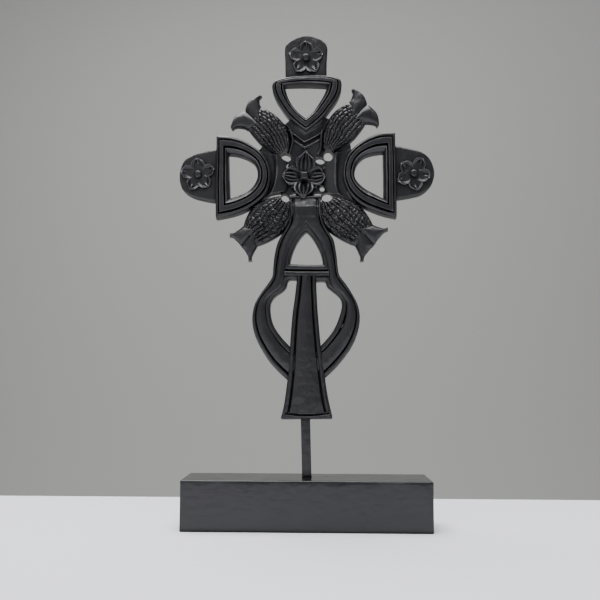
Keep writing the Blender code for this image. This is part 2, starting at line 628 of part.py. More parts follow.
def neck_panel_section(share):
    marks = np.linspace(0, 1, len(NECK_PANEL_HEIGHTS))
    top = np.interp(share, marks, NECK_PANEL_HEIGHTS)
    return down_to(0.0, [(across, top + height) for across, height in NECK_PANEL_FRONT])


def hub_and_necks():
    return [
        strip("hub", HUB_RIBS, plain(HUB_FRONT), 1),
        strip("left_web", LEFT_WEB_RIBS, plain(WEB_FRONT), 1),
        strip("right_web", RIGHT_WEB_RIBS, plain(WEB_FRONT), 1),
        strip("left_cuff", LEFT_CUFF_RIBS, plain(CUFF_FRONT), 1),
        strip("right_cuff", RIGHT_CUFF_RIBS, plain(CUFF_FRONT), 1),
        strip("left_collar", LEFT_COLLAR_RIBS, plain(COLLAR_FRONT), 1),
        strip("right_collar", RIGHT_COLLAR_RIBS, plain(COLLAR_FRONT), 1),
        strip("left_facet", LEFT_FACET_RIBS, facet_section, 1),
        strip("right_facet", RIGHT_FACET_RIBS, facet_section, 1),
        strip("left_neck_edge", LEFT_NECK_EDGE_RIBS, neck_edge_section, 1),
        strip("right_neck_edge", RIGHT_NECK_EDGE_RIBS, neck_edge_section, 1),
        strip("neck_shelf", NECK_SHELF_RIBS, plain(NECK_SHELF_FRONT), 1),
        strip("neck_panel", NECK_PANEL_RIBS, neck_panel_section, 1),
    ]


def piercing(number, centre, halves, turn):
    """A cutter with an oval outline that runs right through the plank."""
    around = np.arange(PIERCING_SIDES) * 2 * math.pi / PIERCING_SIDES
    wide, high = halves[0] * np.cos(around), halves[1] * np.sin(around)
    cos, sin = math.cos(math.radians(turn)), math.sin(math.radians(turn))
    x = centre[0] + wide * cos - high * sin
    z = centre[1] + wide * sin + high * cos
    ends = (-PIERCING_REACH, DRAWN_THICKNESS + PIERCING_REACH)
    rows = [in_wood(x, z, np.full(PIERCING_SIDES, height)) for height in ends]
    return body(f"piercing_{number}", np.array(rows), False)


# Flowers: cupped petals set round a button. An outline gives a petal's width along its length.

FLOWER_BACK = 5.0
PETAL_LIFT = 0.12
PETAL_RIM = 0.09
PETAL_RIM_DROP = 0.9
ROUND_OUTLINE = [(0.0, 0.30), (0.25, 0.70), (0.5, 0.96), (0.75, 0.95), (1.0, 0.24)]
POINTED_OUTLINE = [(0.0, 0.40), (0.25, 0.74), (0.5, 1.0), (0.75, 0.82), (1.0, 0.06)]
LEAF_OUTLINE = [(0.0, 0.60), (0.25, 0.84), (0.5, 1.0), (0.75, 0.62), (1.0, 0.08)]


def petal(name, number, centre, turn, facts):
    """One petal, which climbs to its rim and is hollow across; each is set a little above the last."""
    lift = PETAL_LIFT * number
    along = np.linspace(0.0, 1.0, PETAL_STEPS + 1)
    marks, widths = np.transpose(facts["outline"])
    half = np.interp(along, marks, widths) * facts["width"] / 2
    direction = np.array([math.cos(math.radians(turn)), math.sin(math.radians(turn))])
    side = np.array([-direction[1], direction[0]])
    spine = np.array(centre) + along[:, None] * facts["reach"] * direction

    def section(share):
        climb = math.sin(math.pi / 2 * min(1.0, 1.15 * share))
        rim = lift + facts["root"] + (facts["rim"] - facts["root"]) * climb
        bed = rim - facts["cup"] * math.sin(math.pi * (0.1 + 0.8 * share))
        return down_to(FLOWER_BACK - lift, [
            (0.0, rim - PETAL_RIM_DROP), (PETAL_RIM, rim), (0.5, bed), (1 - PETAL_RIM, rim),
            (1.0, rim - PETAL_RIM_DROP),
        ])

    edges = (spine - side * half[:, None], spine + side * half[:, None])
    return strip(name, [(tuple(a), tuple(b)) for a, b in zip(*edges)], section, 1)


def button(name, centre, facts):
    """The round or squared boss in the middle of a flower."""
    radius, low, high, sides = (facts[key] for key in ("radius", "low", "high", "sides"))
    around = (np.arange(sides) + 0.5) * 2 * math.pi / sides
    rows = []
    for share, height in ((1.0, FLOWER_BACK), (1.0, low), (0.85, low + 0.7 * (high - low)), (0.5, high)):
        x = centre[0] + radius * share * np.cos(around)
        z = centre[1] + radius * share * np.sin(around)
        rows.append(in_wood(x, z, np.full(sides, height)))
    return body(name, np.array(rows), False)


TAB_FLOWERS = {
    "top": {"centre": (-2.1, 430.0), "first_turn": 86.0},
    "left": {"centre": (-101.6, 318.4), "first_turn": 94.0},
    "right": {"centre": (97.4, 319.3), "first_turn": 60.0},
}
TAB_PETALS = 5
TAB_PETAL = {"reach": 15.4, "width": 12.6, "root": 9.9, "rim": 14.0, "cup": 1.6, "outline": ROUND_OUTLINE}
TAB_BUTTON = {"radius": 3.5, "low": 12.4, "high": 14.6, "sides": 8}

HUB_CENTRE = (-3.4, 316.4)
HUB_PETALS = [
    (85.0, {"reach": 23.0, "width": 19.0, "root": 9.6, "rim": 14.4, "cup": 1.8, "outline": POINTED_OUTLINE}),
    (177.0, {"reach": 19.4, "width": 17.6, "root": 9.6, "rim": 14.2, "cup": 2.2, "outline": ROUND_OUTLINE}),
    (267.0, {"reach": 20.0, "width": 19.0, "root": 9.6, "rim": 15.8, "cup": 1.9, "outline": POINTED_OUTLINE}),
    (2.0, {"reach": 18.6, "width": 17.6, "root": 9.6, "rim": 14.2, "cup": 2.2, "outline": ROUND_OUTLINE}),
]
HUB_LEAVES = [(43.0, 15.6), (137.0, 16.4), (221.0, 15.4), (317.5, 15.4)]
HUB_LEAF = {"width": 9.0, "root": 8.2, "rim": 10.8, "cup": 1.2, "outline": LEAF_OUTLINE}
HUB_BUTTON = {"radius": 5.3, "low": 14.6, "high": 17.2, "sides": 4}


def tab_flowers():
    items = []
    for name, flower in TAB_FLOWERS.items():
        for number in range(TAB_PETALS):
            turn = flower["first_turn"] + number * 360 / TAB_PETALS
            items.append(petal(f"{name}_petal_{number}", number, flower["centre"], turn, TAB_PETAL))
        items.append(button(f"{name}_button", flower["centre"], TAB_BUTTON))
    return items


def hub_flower():
    items = [
        petal(f"hub_leaf_{number}", number, HUB_CENTRE, turn, {**HUB_LEAF, "reach": reach})
        for number, (turn, reach) in enumerate(HUB_LEAVES, 1)
    ]
    items += [
        petal(f"hub_petal_{number}", number, HUB_CENTRE, turn, facts)
        for number, (turn, facts) in enumerate(HUB_PETALS, len(HUB_LEAVES) + 1)
    ]
    return items + [button("hub_button", HUB_CENTRE, HUB_BUTTON)]


# Joining and cutting


def combined(item, others, operation):
    """The item joined with the others, or with the others cut out of it."""
    for other in others:
        modifier = item.modifiers.new(other.name, "BOOLEAN")
        modifier.operation = operation
        modifier.object = other
        modifier.solver = "MANIFOLD"
    bpy.context.view_layer.update()
    evaluated = item.evaluated_get(bpy.context.evaluated_depsgraph_get())
    shape = bmesh.new()
    shape.from_mesh(evaluated.data)
    item.modifiers.clear()
    bmesh.ops.dissolve_degenerate(shape, dist=SHORTEST_EDGE, edges=shape.edges)
    bmesh.ops.dissolve_limit(shape, angle_limit=FLAT_ANGLE, verts=shape.verts, edges=shape.edges)
    bmesh.ops.triangulate(shape, faces=shape.faces)
    shape.to_mesh(item.data)
    shape.free()
    for other in others:
        bpy.data.objects.remove(other, do_unlink=True)
    return item


def block(name, size, ease):
    """A box with its middle at the origin and its edges eased."""
    shape = bmesh.new()
    bmesh.ops.create_cube(shape, size=1.0)
    bmesh.ops.scale(shape, vec=size, verts=shape.verts)
    if ease:
        bmesh.ops.bevel(
            shape, geom=list(shape.edges), offset=ease, segments=2, profile=0.5, affect="EDGES"
        )
    return finished(name, shape)


def on_post(item, low):
    """Stands the item on the post's leaning line; low is its lower end's height above the base."""
    middle = low + item.dimensions.z / 2
    item.rotation_euler = (0.0, -POST_LEAN, 0.0)
    item.location = (-math.sin(POST_LEAN) * middle, 0.0, BASE_HEIGHT + math.cos(POST_LEAN) * middle)
    bpy.context.view_layer.update()
    return item


def socket(name, low, high):
    side = POST_SIDE + 2 * SOCKET_GAP
    return on_post(block(name, (side, side, high - low), 0), low)


def make_post():
    length = POST_IN_BASE + POST_SHOWING + POST_IN_BLADE
    return on_post(block("post", (POST_SIDE, POST_SIDE, length), POST_EDGE_EASE), -POST_IN_BASE)


def make_base():
    base = block("base", (BASE_LENGTH, BASE_DEPTH, BASE_HEIGHT), BASE_EDGE_EASE)
    base.location.z = BASE_HEIGHT / 2
    hollow = socket("base_socket", -POST_IN_BASE - SOCKET_GAP, POST_SHOWING / 2)
    return combined(base, [hollow], "DIFFERENCE")


def make_cross():
    cross = blade()
    others = arm_frames() + arm_tabs() + fishes() + legs_and_ring() + hub_and_necks() + tab_flowers()
    combined(cross, others, "UNION")
    cutters = [piercing(number, *shape) for number, shape in enumerate(PIERCINGS, 1)]
    combined(cross, cutters, "DIFFERENCE")
    combined(cross, hub_flower(), "UNION")
    hollow = socket("blade_socket", POST_SHOWING / 2, POST_SHOWING + POST_IN_BLADE + SOCKET_GAP)
    combined(cross, [hollow], "DIFFERENCE")
    cross.name = "carved_cross"
    return cross


def main():
    clear_scene()
    carving_finish = stained_wood("carved_black_wood", CARVED_ROUGHNESS)
    block_finish = stained_wood("plain_black_wood", PLAIN_ROUGHNESS)
    for item, finish in (
        (make_cross(), carving_finish), (make_post(), block_finish), (make_base(), block_finish),
    ):
        item.data.materials.clear()
        item.data.materials.append(finish)
        item.data.shade_smooth()
        item.data.set_sharp_from_angle(angle=SHARP_FROM)


main()
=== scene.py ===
# %% [markdown]
# # A carved wooden cross on a block stand
#
# The real object is three pieces of wood, all stained black: a pierced and carved cross, a slim
# square post, and a block that the post stands in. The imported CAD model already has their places
# and sizes. This lesson keeps those and makes each piece again as a finer mesh, with the beads,
# grooves, scales and petals that a carver leaves, and then gives the wood its finish.

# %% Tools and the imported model
import math

import bmesh
import bpy
import numpy as np
from mathutils import Matrix, Vector, noise


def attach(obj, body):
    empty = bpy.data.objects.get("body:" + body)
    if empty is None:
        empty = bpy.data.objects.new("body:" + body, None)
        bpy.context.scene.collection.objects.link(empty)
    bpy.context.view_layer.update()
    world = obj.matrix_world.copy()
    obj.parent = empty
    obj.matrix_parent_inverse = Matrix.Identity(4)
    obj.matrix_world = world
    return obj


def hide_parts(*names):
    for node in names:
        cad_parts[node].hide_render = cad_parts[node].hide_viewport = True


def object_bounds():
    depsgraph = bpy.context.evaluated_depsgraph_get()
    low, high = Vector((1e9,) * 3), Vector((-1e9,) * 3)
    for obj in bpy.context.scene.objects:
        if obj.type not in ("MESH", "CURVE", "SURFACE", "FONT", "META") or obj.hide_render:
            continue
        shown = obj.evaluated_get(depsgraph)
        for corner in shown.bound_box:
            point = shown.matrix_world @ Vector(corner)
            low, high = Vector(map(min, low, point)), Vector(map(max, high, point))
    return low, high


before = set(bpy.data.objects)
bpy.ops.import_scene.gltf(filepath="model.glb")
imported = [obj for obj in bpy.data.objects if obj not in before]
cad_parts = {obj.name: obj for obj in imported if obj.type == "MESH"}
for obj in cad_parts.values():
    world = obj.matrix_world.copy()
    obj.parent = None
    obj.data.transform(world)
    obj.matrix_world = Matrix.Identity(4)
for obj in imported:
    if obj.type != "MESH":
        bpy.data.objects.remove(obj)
cad_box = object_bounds()
print("nodes of the packed model:", sorted(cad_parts))

# %% [markdown]
# ## The camera
#
# The picture was taken from in front, a little above the block, with the camera tipped slightly up.
# A camera's own axes are its right, its up and the way back from what it looks at, so three
# directions worked out from its turn, tilt and roll make its matrix directly.

# %% Camera
CAMERA_PLACE = Vector((0.00729, -0.7182, 0.1283))
CAMERA_TILT = math.radians(5.863)
CAMERA_TURN = math.radians(-1.126)
CAMERA_ROLL = math.radians(0.276)
FOCAL_LENGTH_MM = 47.55
SENSOR_WIDTH_MM = 36.0


def camera_axes(tilt, turn, roll):
    """Right, up and backwards of a camera that looks along +Y before it is turned."""
    forward = Vector((
        math.sin(turn) * math.cos(tilt),
        math.cos(turn) * math.cos(tilt),
        math.sin(tilt),
    ))
    level = Vector((math.cos(turn), -math.sin(turn), 0.0))
    upward = level.cross(forward)
    right = level * math.cos(roll) + upward * math.sin(roll)
    top = upward * math.cos(roll) - level * math.sin(roll)
    return right, top, -forward


camera = bpy.data.objects.new("camera", bpy.data.cameras.new("camera"))
bpy.context.scene.collection.objects.link(camera)
camera.matrix_world = Matrix.Translation(CAMERA_PLACE) @ Matrix(
    camera_axes(CAMERA_TILT, CAMERA_TURN, CAMERA_ROLL)
).transposed().to_4x4()
camera.data.lens = FOCAL_LENGTH_MM
camera.data.sensor_width = SENSOR_WIDTH_MM
bpy.context.scene.camera = camera
print("camera at", tuple(round(v, 4) for v in camera.location))

# %% [markdown]
# ## Floor, backdrop and light
#
# Black wood shows its form by what it reflects, so the light matters more than the stain. A wide
# soft panel overhead lights every face that turns up, a weaker one fills from the front, and a
# plain grey backdrop is what the top of the block mirrors. The floor is a plain pale slab.

# %% Floor and backdrop
FLOOR_FAR_EDGE = 0.176
FLOOR_REACH = 2.0
FLOOR_THICKNESS = 0.03
BACKDROP_DISTANCE = 1.5
BACKDROP_SIZE = 6.0
FLOOR_COLOUR = (0.88, 0.88, 0.935, 1.0)
BACKDROP_COLOUR = (0.310, 0.308, 0.295, 1.0)


def plain_finish(name, colour):
    """A dull, even finish for what is only the setting."""
    finish = bpy.data.materials.new(name)
    finish.use_nodes = True
    shader = finish.node_tree.nodes["Principled BSDF"]
    shader.inputs["Base Color"].default_value = colour
    shader.inputs["Roughness"].default_value = 0.85
    shader.inputs["Specular IOR Level"].default_value = 0.2
    return finish


def plain_slab(name, low, high, finish):
    """A box between two corners, for the setting."""
    shape = bmesh.new()
    bmesh.ops.create_cube(shape, size=1.0)
    size = [b - a for a, b in zip(low, high)]
    bmesh.ops.scale(shape, vec=size, verts=shape.verts)
    bmesh.ops.translate(shape, vec=[(a + b) / 2 for a, b in zip(low, high)], verts=shape.verts)
    mesh = bpy.data.meshes.new(name)
    shape.to_mesh(mesh)
    shape.free()
    slab = bpy.data.objects.new(name, mesh)
    bpy.context.scene.collection.objects.link(slab)
    mesh.materials.append(finish)
    return slab


plain_slab(
    "floor", (-FLOOR_REACH, -FLOOR_REACH, -FLOOR_THICKNESS), (FLOOR_REACH, FLOOR_FAR_EDGE, 0.0),
    plain_finish("pale_floor", FLOOR_COLOUR),
)
plain_slab(
    "backdrop", (-BACKDROP_SIZE / 2, BACKDROP_DISTANCE, -BACKDROP_SIZE / 3),
    (BACKDROP_SIZE / 2, BACKDROP_DISTANCE + FLOOR_THICKNESS, BACKDROP_SIZE / 2),
    plain_finish("grey_backdrop", BACKDROP_COLOUR),
)
print("the floor ends", FLOOR_FAR_EDGE, "m behind the middle of the block")

# %% Lights
SOFT_LIGHTS = {
    "overhead": {"place": (-0.15, -0.10, 1.35), "size": (1.5, 1.1), "watts": 43.0},
    "front_fill": {"place": (-0.7, -1.6, 0.7), "size": (1.4, 1.2), "watts": 2.5},
    "low_wash": {"place": (0.0, 0.6, -0.6), "size": (2.8, 0.5), "watts": 12.0, "at": (0.0, 1.5, 0.1)},
    "high_wash": {"place": (0.0, 0.7, 1.5), "size": (2.8, 0.5), "watts": 9.0, "at": (0.0, 1.5, 0.8)},
}
LIGHT_TARGET = (0.0, 0.0, 0.22)
SKY_COLOUR = (0.80, 0.84, 0.92, 1.0)
SKY_STRENGTH = 0.26

for name, facts in SOFT_LIGHTS.items():
    panel = bpy.data.lights.new(name, "AREA")
    panel.shape = "RECTANGLE"
    panel.size, panel.size_y = facts["size"]
    panel.energy = facts["watts"]
    lamp = bpy.data.objects.new(name, panel)
    bpy.context.scene.collection.objects.link(lamp)
    lamp.location = facts["place"]
    aim = Vector(facts.get("at", LIGHT_TARGET)) - lamp.location
    lamp.rotation_euler = aim.to_track_quat("-Z", "Y").to_euler()

sky = bpy.data.worlds.new("soft_sky")
sky.use_nodes = True
sky.node_tree.nodes["Background"].inputs["Color"].default_value = SKY_COLOUR
sky.node_tree.nodes["Background"].inputs["Strength"].default_value = SKY_STRENGTH
bpy.context.scene.world = sky
print("lights:", ", ".join(SOFT_LIGHTS))

# %% [markdown]
# ## How the carving is drawn
#
# A carver draws the cross on the plank and then cuts each form down from its face. The same two
# steps work here. The drawing is in millimetres, X across and Z up. Each form is a run of ribs: a
# rib is a straight line across the form, from one of its edges to the other, and a section says
# how high the wood stands above the plank's back along it. Between ribs the form is smooth.
# A swept curve would be quicker to set up, but every moulding here changes its width along its way,
# and ribs let it do that.

# %% Drawing to wood
PLANK_THICKNESS = 0.015
DRAWN_FOOT = 95.4
CARVING_FOOT = 0.095
MILLIMETRE = 0.001
RIB_STEPS = 6
ROUND_STEPS = 4


def in_wood(x, z, height):
    """Places of the drawing in metres; height is above the plank's back."""
    return np.stack([
        x * MILLIMETRE,
        PLANK_THICKNESS / 2 - height * MILLIMETRE,
        CARVING_FOOT + (z - DRAWN_FOOT) * MILLIMETRE,
    ], axis=-1)


def smooth(points, steps):
    """A smooth curve through rows of numbers, with the same number of steps in each span."""
    points = np.array(points, float)
    if len(points) == 2:
        share = np.linspace(0, 1, steps + 1)[:, None]
        return points[0] * (1 - share) + points[1] * share
    chords = np.sqrt(np.linalg.norm(np.diff(points, axis=0), axis=1))
    slopes = np.diff(points, axis=0) / chords[:, None]
    before, after = chords[:-1, None], chords[1:, None]
    inner = (slopes[:-1] * after + slopes[1:] * before) / (before + after)
    tangents = np.vstack([2 * slopes[:1] - inner[:1], inner, 2 * slopes[-1:] - inner[-1:]])
    s = (np.arange(steps) / steps)[:, None]
    spans = [
        (1 + 2 * s) * (1 - s) ** 2 * points[k]
        + s * (1 - s) ** 2 * chords[k] * tangents[k]
        + s * s * (3 - 2 * s) * points[k + 1]
        + s * s * (s - 1) * chords[k] * tangents[k + 1]
        for k in range(len(chords))
    ]
    return np.vstack(spans + [points[-1:]])


def section_of(*runs, steps=ROUND_STEPS):
    """The carved face from edge to edge: each run is round, and runs meet in a sharp line."""
    parts = [smooth(run, steps)[:-1] for run in runs]
    return np.vstack(parts + [np.array(runs[-1][-1:], float)])


# %% Lofting a form
def new_item(name, points, faces):
    mesh = bpy.data.meshes.new(name)
    mesh.from_pydata([tuple(point) for point in points], [], faces)
    mesh.update()
    item = bpy.data.objects.new(name, mesh)
    bpy.context.scene.collection.objects.link(item)
    return item


def loft(name, outlines, closed=False):
    """A closed mesh over outlines of as many points each; an open run has its ends capped."""
    count, around = outlines.shape[:2]
    faces = []
    for i in range(count if closed else count - 1):
        near, far = i * around, (i + 1) % count * around
        for j in range(around):
            k = (j + 1) % around
            faces.append((near + j, near + k, far + k, far + j))
    if not closed:
        faces.append(tuple(range(around))[::-1])
        faces.append(tuple(range((count - 1) * around, count * around)))
    item = new_item(name, outlines.reshape(-1, 3), faces)
    shape = bmesh.new()
    shape.from_mesh(item.data)
    bmesh.ops.triangulate(shape, faces=[face for face in shape.faces if len(face.verts) > 4])
    bmesh.ops.recalc_face_normals(shape, faces=shape.faces)
    shape.to_mesh(item.data)
    shape.free()
    return item


def carved(name, runs, section, back=0.0, steps=RIB_STEPS, closed=False):
    """A form over one or more runs of ribs; section is a set face, or gives one for each share."""
    spans = [smooth([first + last for first, last in run], steps) for run in runs]
    ribs = np.vstack([span[:-1] for span in spans] + ([] if closed else [spans[-1][-1:]]))
    outlines = []
    for rib, share in zip(ribs, np.linspace(0, 1, len(ribs))):
        face = section(share) if callable(section) else section
        outline = np.vstack([face, [(face[-1][0], back), (face[0][0], back)]])
        spots = rib[:2] * (1 - outline[:, :1]) + rib[2:] * outline[:, :1]
        outlines.append(in_wood(spots[:, 0], spots[:, 1], outline[:, 1]))
    return loft(name, np.array(outlines), closed)


print("ribs are", RIB_STEPS, "steps apart, and", PLANK_THICKNESS, "m of plank carries them")

# %% [markdown]
# ## Frames of the three arms
#
# Each arm ends in an open frame with a moulding: a bevel round the hole, a flat band, and a bead
# round the outside, with a steep groove between each two. Where straight and curved sides meet, the
# grooves mitre, as a carver's gouge cuts meet in a corner. Ribs at the corners lie along the
# mitre, so the same section makes the corner by itself.

# %% Arm frames
def frame_face(bevel, band, bead):
    """A bevel round the hole, a flat band and an outer bead, with a steep dark groove between each two."""
    return section_of(
        [(0.0, 9.6), (0.05, 11.2), (bevel * 0.5, 12.5), (bevel - 0.03, 13.7)],
        [(bevel - 0.03, 13.7), (bevel - 0.005, 10.4)],
        [(bevel - 0.005, 10.4), (band - 0.05, 9.9)],
        [(band - 0.05, 9.9), (band - 0.02, 14.5)],
        [(band - 0.02, 14.5), (band + 0.03, 14.8), (bead - 0.18, 14.7), (bead - 0.13, 14.3)],
        [(bead - 0.13, 14.3), (bead - 0.11, 10.6)],
        [(bead - 0.11, 10.6), (bead - 0.04, 10.8)],
        [(bead - 0.04, 10.8), (bead - 0.02, 13.2)],
        [(bead - 0.02, 13.2), (bead + 0.03, 13.7), (0.94, 13.2), (1.0, 11.6)],
        steps=2,
    )


ARM_FACE = frame_face(0.30, 0.43, 0.83)
CROWN_FACE = frame_face(0.27, 0.40, 0.82)

TOP_FRAME = [
    [((-22.0, 403.6), (-31.7, 406.7)), ((-11.9, 404.1), (-20.3, 410.7)),
     ((8.1, 403.9), (18.7, 412.0)), ((18.3, 403.1), (29.8, 408.4))],
    [((18.3, 403.1), (29.8, 408.4)), ((16.5, 398.6), (31.2, 402.5)), ((14.7, 394.1), (28.2, 392.0)),
     ((10.1, 386.3), (20.2, 380.3)), ((5.1, 378.7), (13.0, 371.3)), ((-2.4, 372.3), (-2.2, 359.0))],
    [((-2.4, 372.3), (-2.2, 359.0)), ((-9.4, 378.2), (-15.6, 370.0)), ((-14.6, 384.4), (-23.3, 379.8)),
     ((-18.6, 391.4), (-30.2, 391.0)), ((-20.5, 397.1), (-33.6, 401.0)),
     ((-22.0, 403.6), (-31.7, 406.7))],
]

LEFT_FRAME = [
    [((-72.0, 296.1), (-84.4, 277.2)), ((-72.5, 307.8), (-85.0, 300.8)),
     ((-73.2, 321.7), (-84.9, 327.8)), ((-73.7, 338.3), (-84.8, 354.8))],
    [((-73.7, 338.3), (-84.8, 354.8)), ((-63.2, 336.7), (-64.9, 352.2)), ((-53.3, 332.3), (-47.9, 343.1)),
     ((-48.3, 326.9), (-37.4, 330.7)), ((-46.4, 317.8), (-34.0, 316.8)), ((-48.7, 310.5), (-37.3, 302.0)),
     ((-54.7, 303.3), (-47.9, 290.7)), ((-62.9, 299.2), (-62.7, 282.5)), ((-72.0, 296.1), (-84.4, 277.2))],
]

RIGHT_FRAME = [
    [((69.6, 339.8), (80.4, 358.1)), ((69.7, 323.1), (80.9, 330.1)),
     ((69.7, 309.6), (81.3, 302.1)), ((69.7, 296.1), (81.3, 278.3))],
    [((69.7, 296.1), (81.3, 278.3)), ((60.7, 300.8), (62.8, 283.3)), ((53.0, 305.0), (46.6, 291.4)),
     ((46.1, 311.3), (36.5, 302.9)), ((43.1, 317.8), (32.1, 317.2)), ((45.0, 327.7), (34.8, 333.4)),
     ((50.4, 334.5), (44.2, 345.3)), ((59.3, 338.3), (62.8, 356.2)), ((69.6, 339.8), (80.4, 358.1))],
]

KEEL_FACE = section_of(
    [(0.0, 11.2), (0.10, 10.0), (0.40, 8.2), (0.84, 7.9)],
    [(0.84, 7.9), (0.89, 10.0), (0.95, 10.4)],
    [(0.95, 10.4), (1.0, 9.8)],
)
LEFT_KEEL = [
    ((-16.2, 371.6), (-22.8, 366.2)), ((-14.5, 369.4), (-18.6, 363.6)), ((-12.4, 367.0), (-15.3, 358.1)),
    ((-8.4, 364.0), (-9.8, 353.7)), ((-2.4, 360.4), (-3.2, 349.0)),
]
RIGHT_KEEL = [
    ((13.4, 374.6), (20.6, 371.6)), ((12.6, 371.0), (16.8, 366.4)), ((10.2, 368.0), (12.9, 358.6)),
    ((4.2, 364.0), (4.3, 352.9)), ((-2.9, 360.4), (-3.8, 349.0)),
]

top_frame = carved("top_frame", TOP_FRAME, CROWN_FACE, closed=True)
left_frame = carved("left_frame", LEFT_FRAME, ARM_FACE, closed=True)
right_frame = carved("right_frame", RIGHT_FRAME, ARM_FACE, closed=True)
left_keel = carved("left_keel", [LEFT_KEEL], KEEL_FACE)
right_keel = carved("right_keel", [RIGHT_KEEL], KEEL_FACE)
print("faces in the left frame:", len(left_frame.data.polygons))

# %% [markdown]
# ## Tabs at the ends of the arms
#
# Each frame carries a thin rounded tab, set lower than the frame. It is a flat field for a flower,
# so it only needs softened edges and the slight waves that a flat gouge leaves. The waves come
# later, for the whole carving at once.

# %% Tabs
TAB_HEIGHT = 10.2
TAB_EASE = 1.3
TAB_END_SHARE = 0.965

TOP_TAB = [
    ((-21.4, 406.0), (17.0, 406.0)), ((-21.7, 427.6), (17.4, 427.5)), ((-22.0, 440.0), (17.8, 440.1)),
    ((-20.5, 444.0), (16.0, 444.6)), ((-12.7, 449.0), (9.6, 449.2)), ((-2.6, 451.5), (-1.1, 451.5)),
]
LEFT_TAB = [
    ((-79.2, 344.0), (-78.6, 292.4)), ((-96.6, 340.4), (-95.2, 294.9)), ((-108.9, 336.3), (-108.0, 298.7)),
    ((-115.0, 331.1), (-115.4, 304.1)), ((-118.1, 323.1), (-117.9, 309.5)),
    ((-118.8, 316.4), (-118.8, 314.0)),
]
RIGHT_TAB = [
    ((76.2, 346.6), (75.5, 295.2)), ((93.4, 343.6), (95.6, 298.2)), ((105.3, 339.8), (105.9, 301.4)),
    ((112.4, 333.4), (113.1, 308.2)), ((115.6, 325.4), (115.6, 314.0)), ((116.4, 320.2), (116.4, 318.3)),
]


def tab_face(share):
    """A flat field with a rounded arris, which also rounds off the tab's far end."""
    past = max(0.0, (share - TAB_END_SHARE) / (1 - TAB_END_SHARE))
    top = TAB_HEIGHT - TAB_EASE * past ** 2
    edges = [(0.0, top - TAB_EASE), (0.008, top - 0.6), (0.03, top - 0.1), (0.06, top)]
    field = [(across, top) for across in np.linspace(0.12, 0.88, 11)]
    return edges + field + [(1 - across, height) for across, height in edges[::-1]]


top_tab = carved("top_tab", [TOP_TAB], tab_face)
left_tab = carved("left_tab", [LEFT_TAB], tab_face)
right_tab = carved("right_tab", [RIGHT_TAB], tab_face)
print("tabs: 3")

# %% [markdown]
# ## Fish between the arms
#
# Four plump fish swim into the middle, nose first, and their bodies are chip carved: long grooves
# run from nose to tail, and each ridge between two grooves is nicked into scales, those of one
# ridge half a scale on from those of the next. That is a rule, so Geometry Nodes cuts them. The
# body comes in as a smooth fine mesh that knows how far along and how far across each point is,
# and the tree sinks each point by what the rule gives there. Placing a separate scale on each spot
# would also work, but it would leave hundreds of little bodies to join. A slow noise bends the rows.

# %% Fish drawings
FISH = {
    "upper_left": {
        "nose": (-22.0, 334.0),
        "left_side": [(-33.8, 339.5), (-43.6, 347.4), (-50.0, 354.6), (-55.4, 361.6)],
        "right_side": [(-16.5, 347.0), (-18.6, 361.4), (-29.7, 375.0), (-44.0, 383.2)],
        "left_tip": (-71.6, 362.8), "notch": (-58.6, 379.2), "right_tip": (-44.8, 394.2),
        "trailing_bulge": 0.22, "leading_bulge": 0.12, "tip": 3.0,
    },
    "upper_right": {
        "nose": (18.0, 336.0),
        "left_side": [(13.0, 349.0), (15.8, 364.3), (23.9, 378.2), (38.0, 387.0)],
        "right_side": [(30.8, 344.0), (41.6, 351.9), (48.7, 360.4), (53.4, 367.6)],
        "left_tip": (41.8, 400.2), "notch": (54.6, 385.2), "right_tip": (65.2, 364.9),
        "trailing_bulge": 0.20, "leading_bulge": 0.08, "tip": 3.0,
    },
    "lower_left": {
        "nose": (-21.5, 298.5),
        "left_side": [(-35.0, 297.2), (-48.7, 290.6), (-55.6, 281.2), (-59.3, 270.6)],
        "right_side": [(-13.5, 287.0), (-16.0, 272.6), (-28.3, 260.8), (-46.4, 252.3)],
        "left_tip": (-71.6, 262.2), "notch": (-61.0, 252.4), "right_tip": (-52.6, 238.0),
        "trailing_bulge": -0.02, "leading_bulge": 0.03, "tip": 3.8,
    },
    "lower_right": {
        "nose": (18.0, 298.5),
        "left_side": [(9.5, 287.0), (12.7, 273.0), (25.4, 261.6), (43.8, 252.8)],
        "right_side": [(31.5, 297.2), (45.7, 291.6), (54.0, 282.3), (59.8, 271.8)],
        "left_tip": (49.4, 237.8), "notch": (60.8, 253.6), "right_tip": (73.4, 268.0),
        "trailing_bulge": -0.03, "leading_bulge": 0.03, "tip": 3.6,
    },
}
SCALE_ROWS = 13
SCALE_COLUMNS = 8
POINTS_IN_SCALE = 8

FISH_EDGE = 7.6
FISH_CROWN = 15.6
FISH_SIDE_BACK = 2.0
NOSE_HALF_WIDTH = (0.8, -0.3)

# %% The rule that cuts the scales
GROOVE_WIDTH = 0.30
SCALE_TIP_ROUND = 0.34
NOTCH_SHARE = 0.36
NODE_STEP = 180


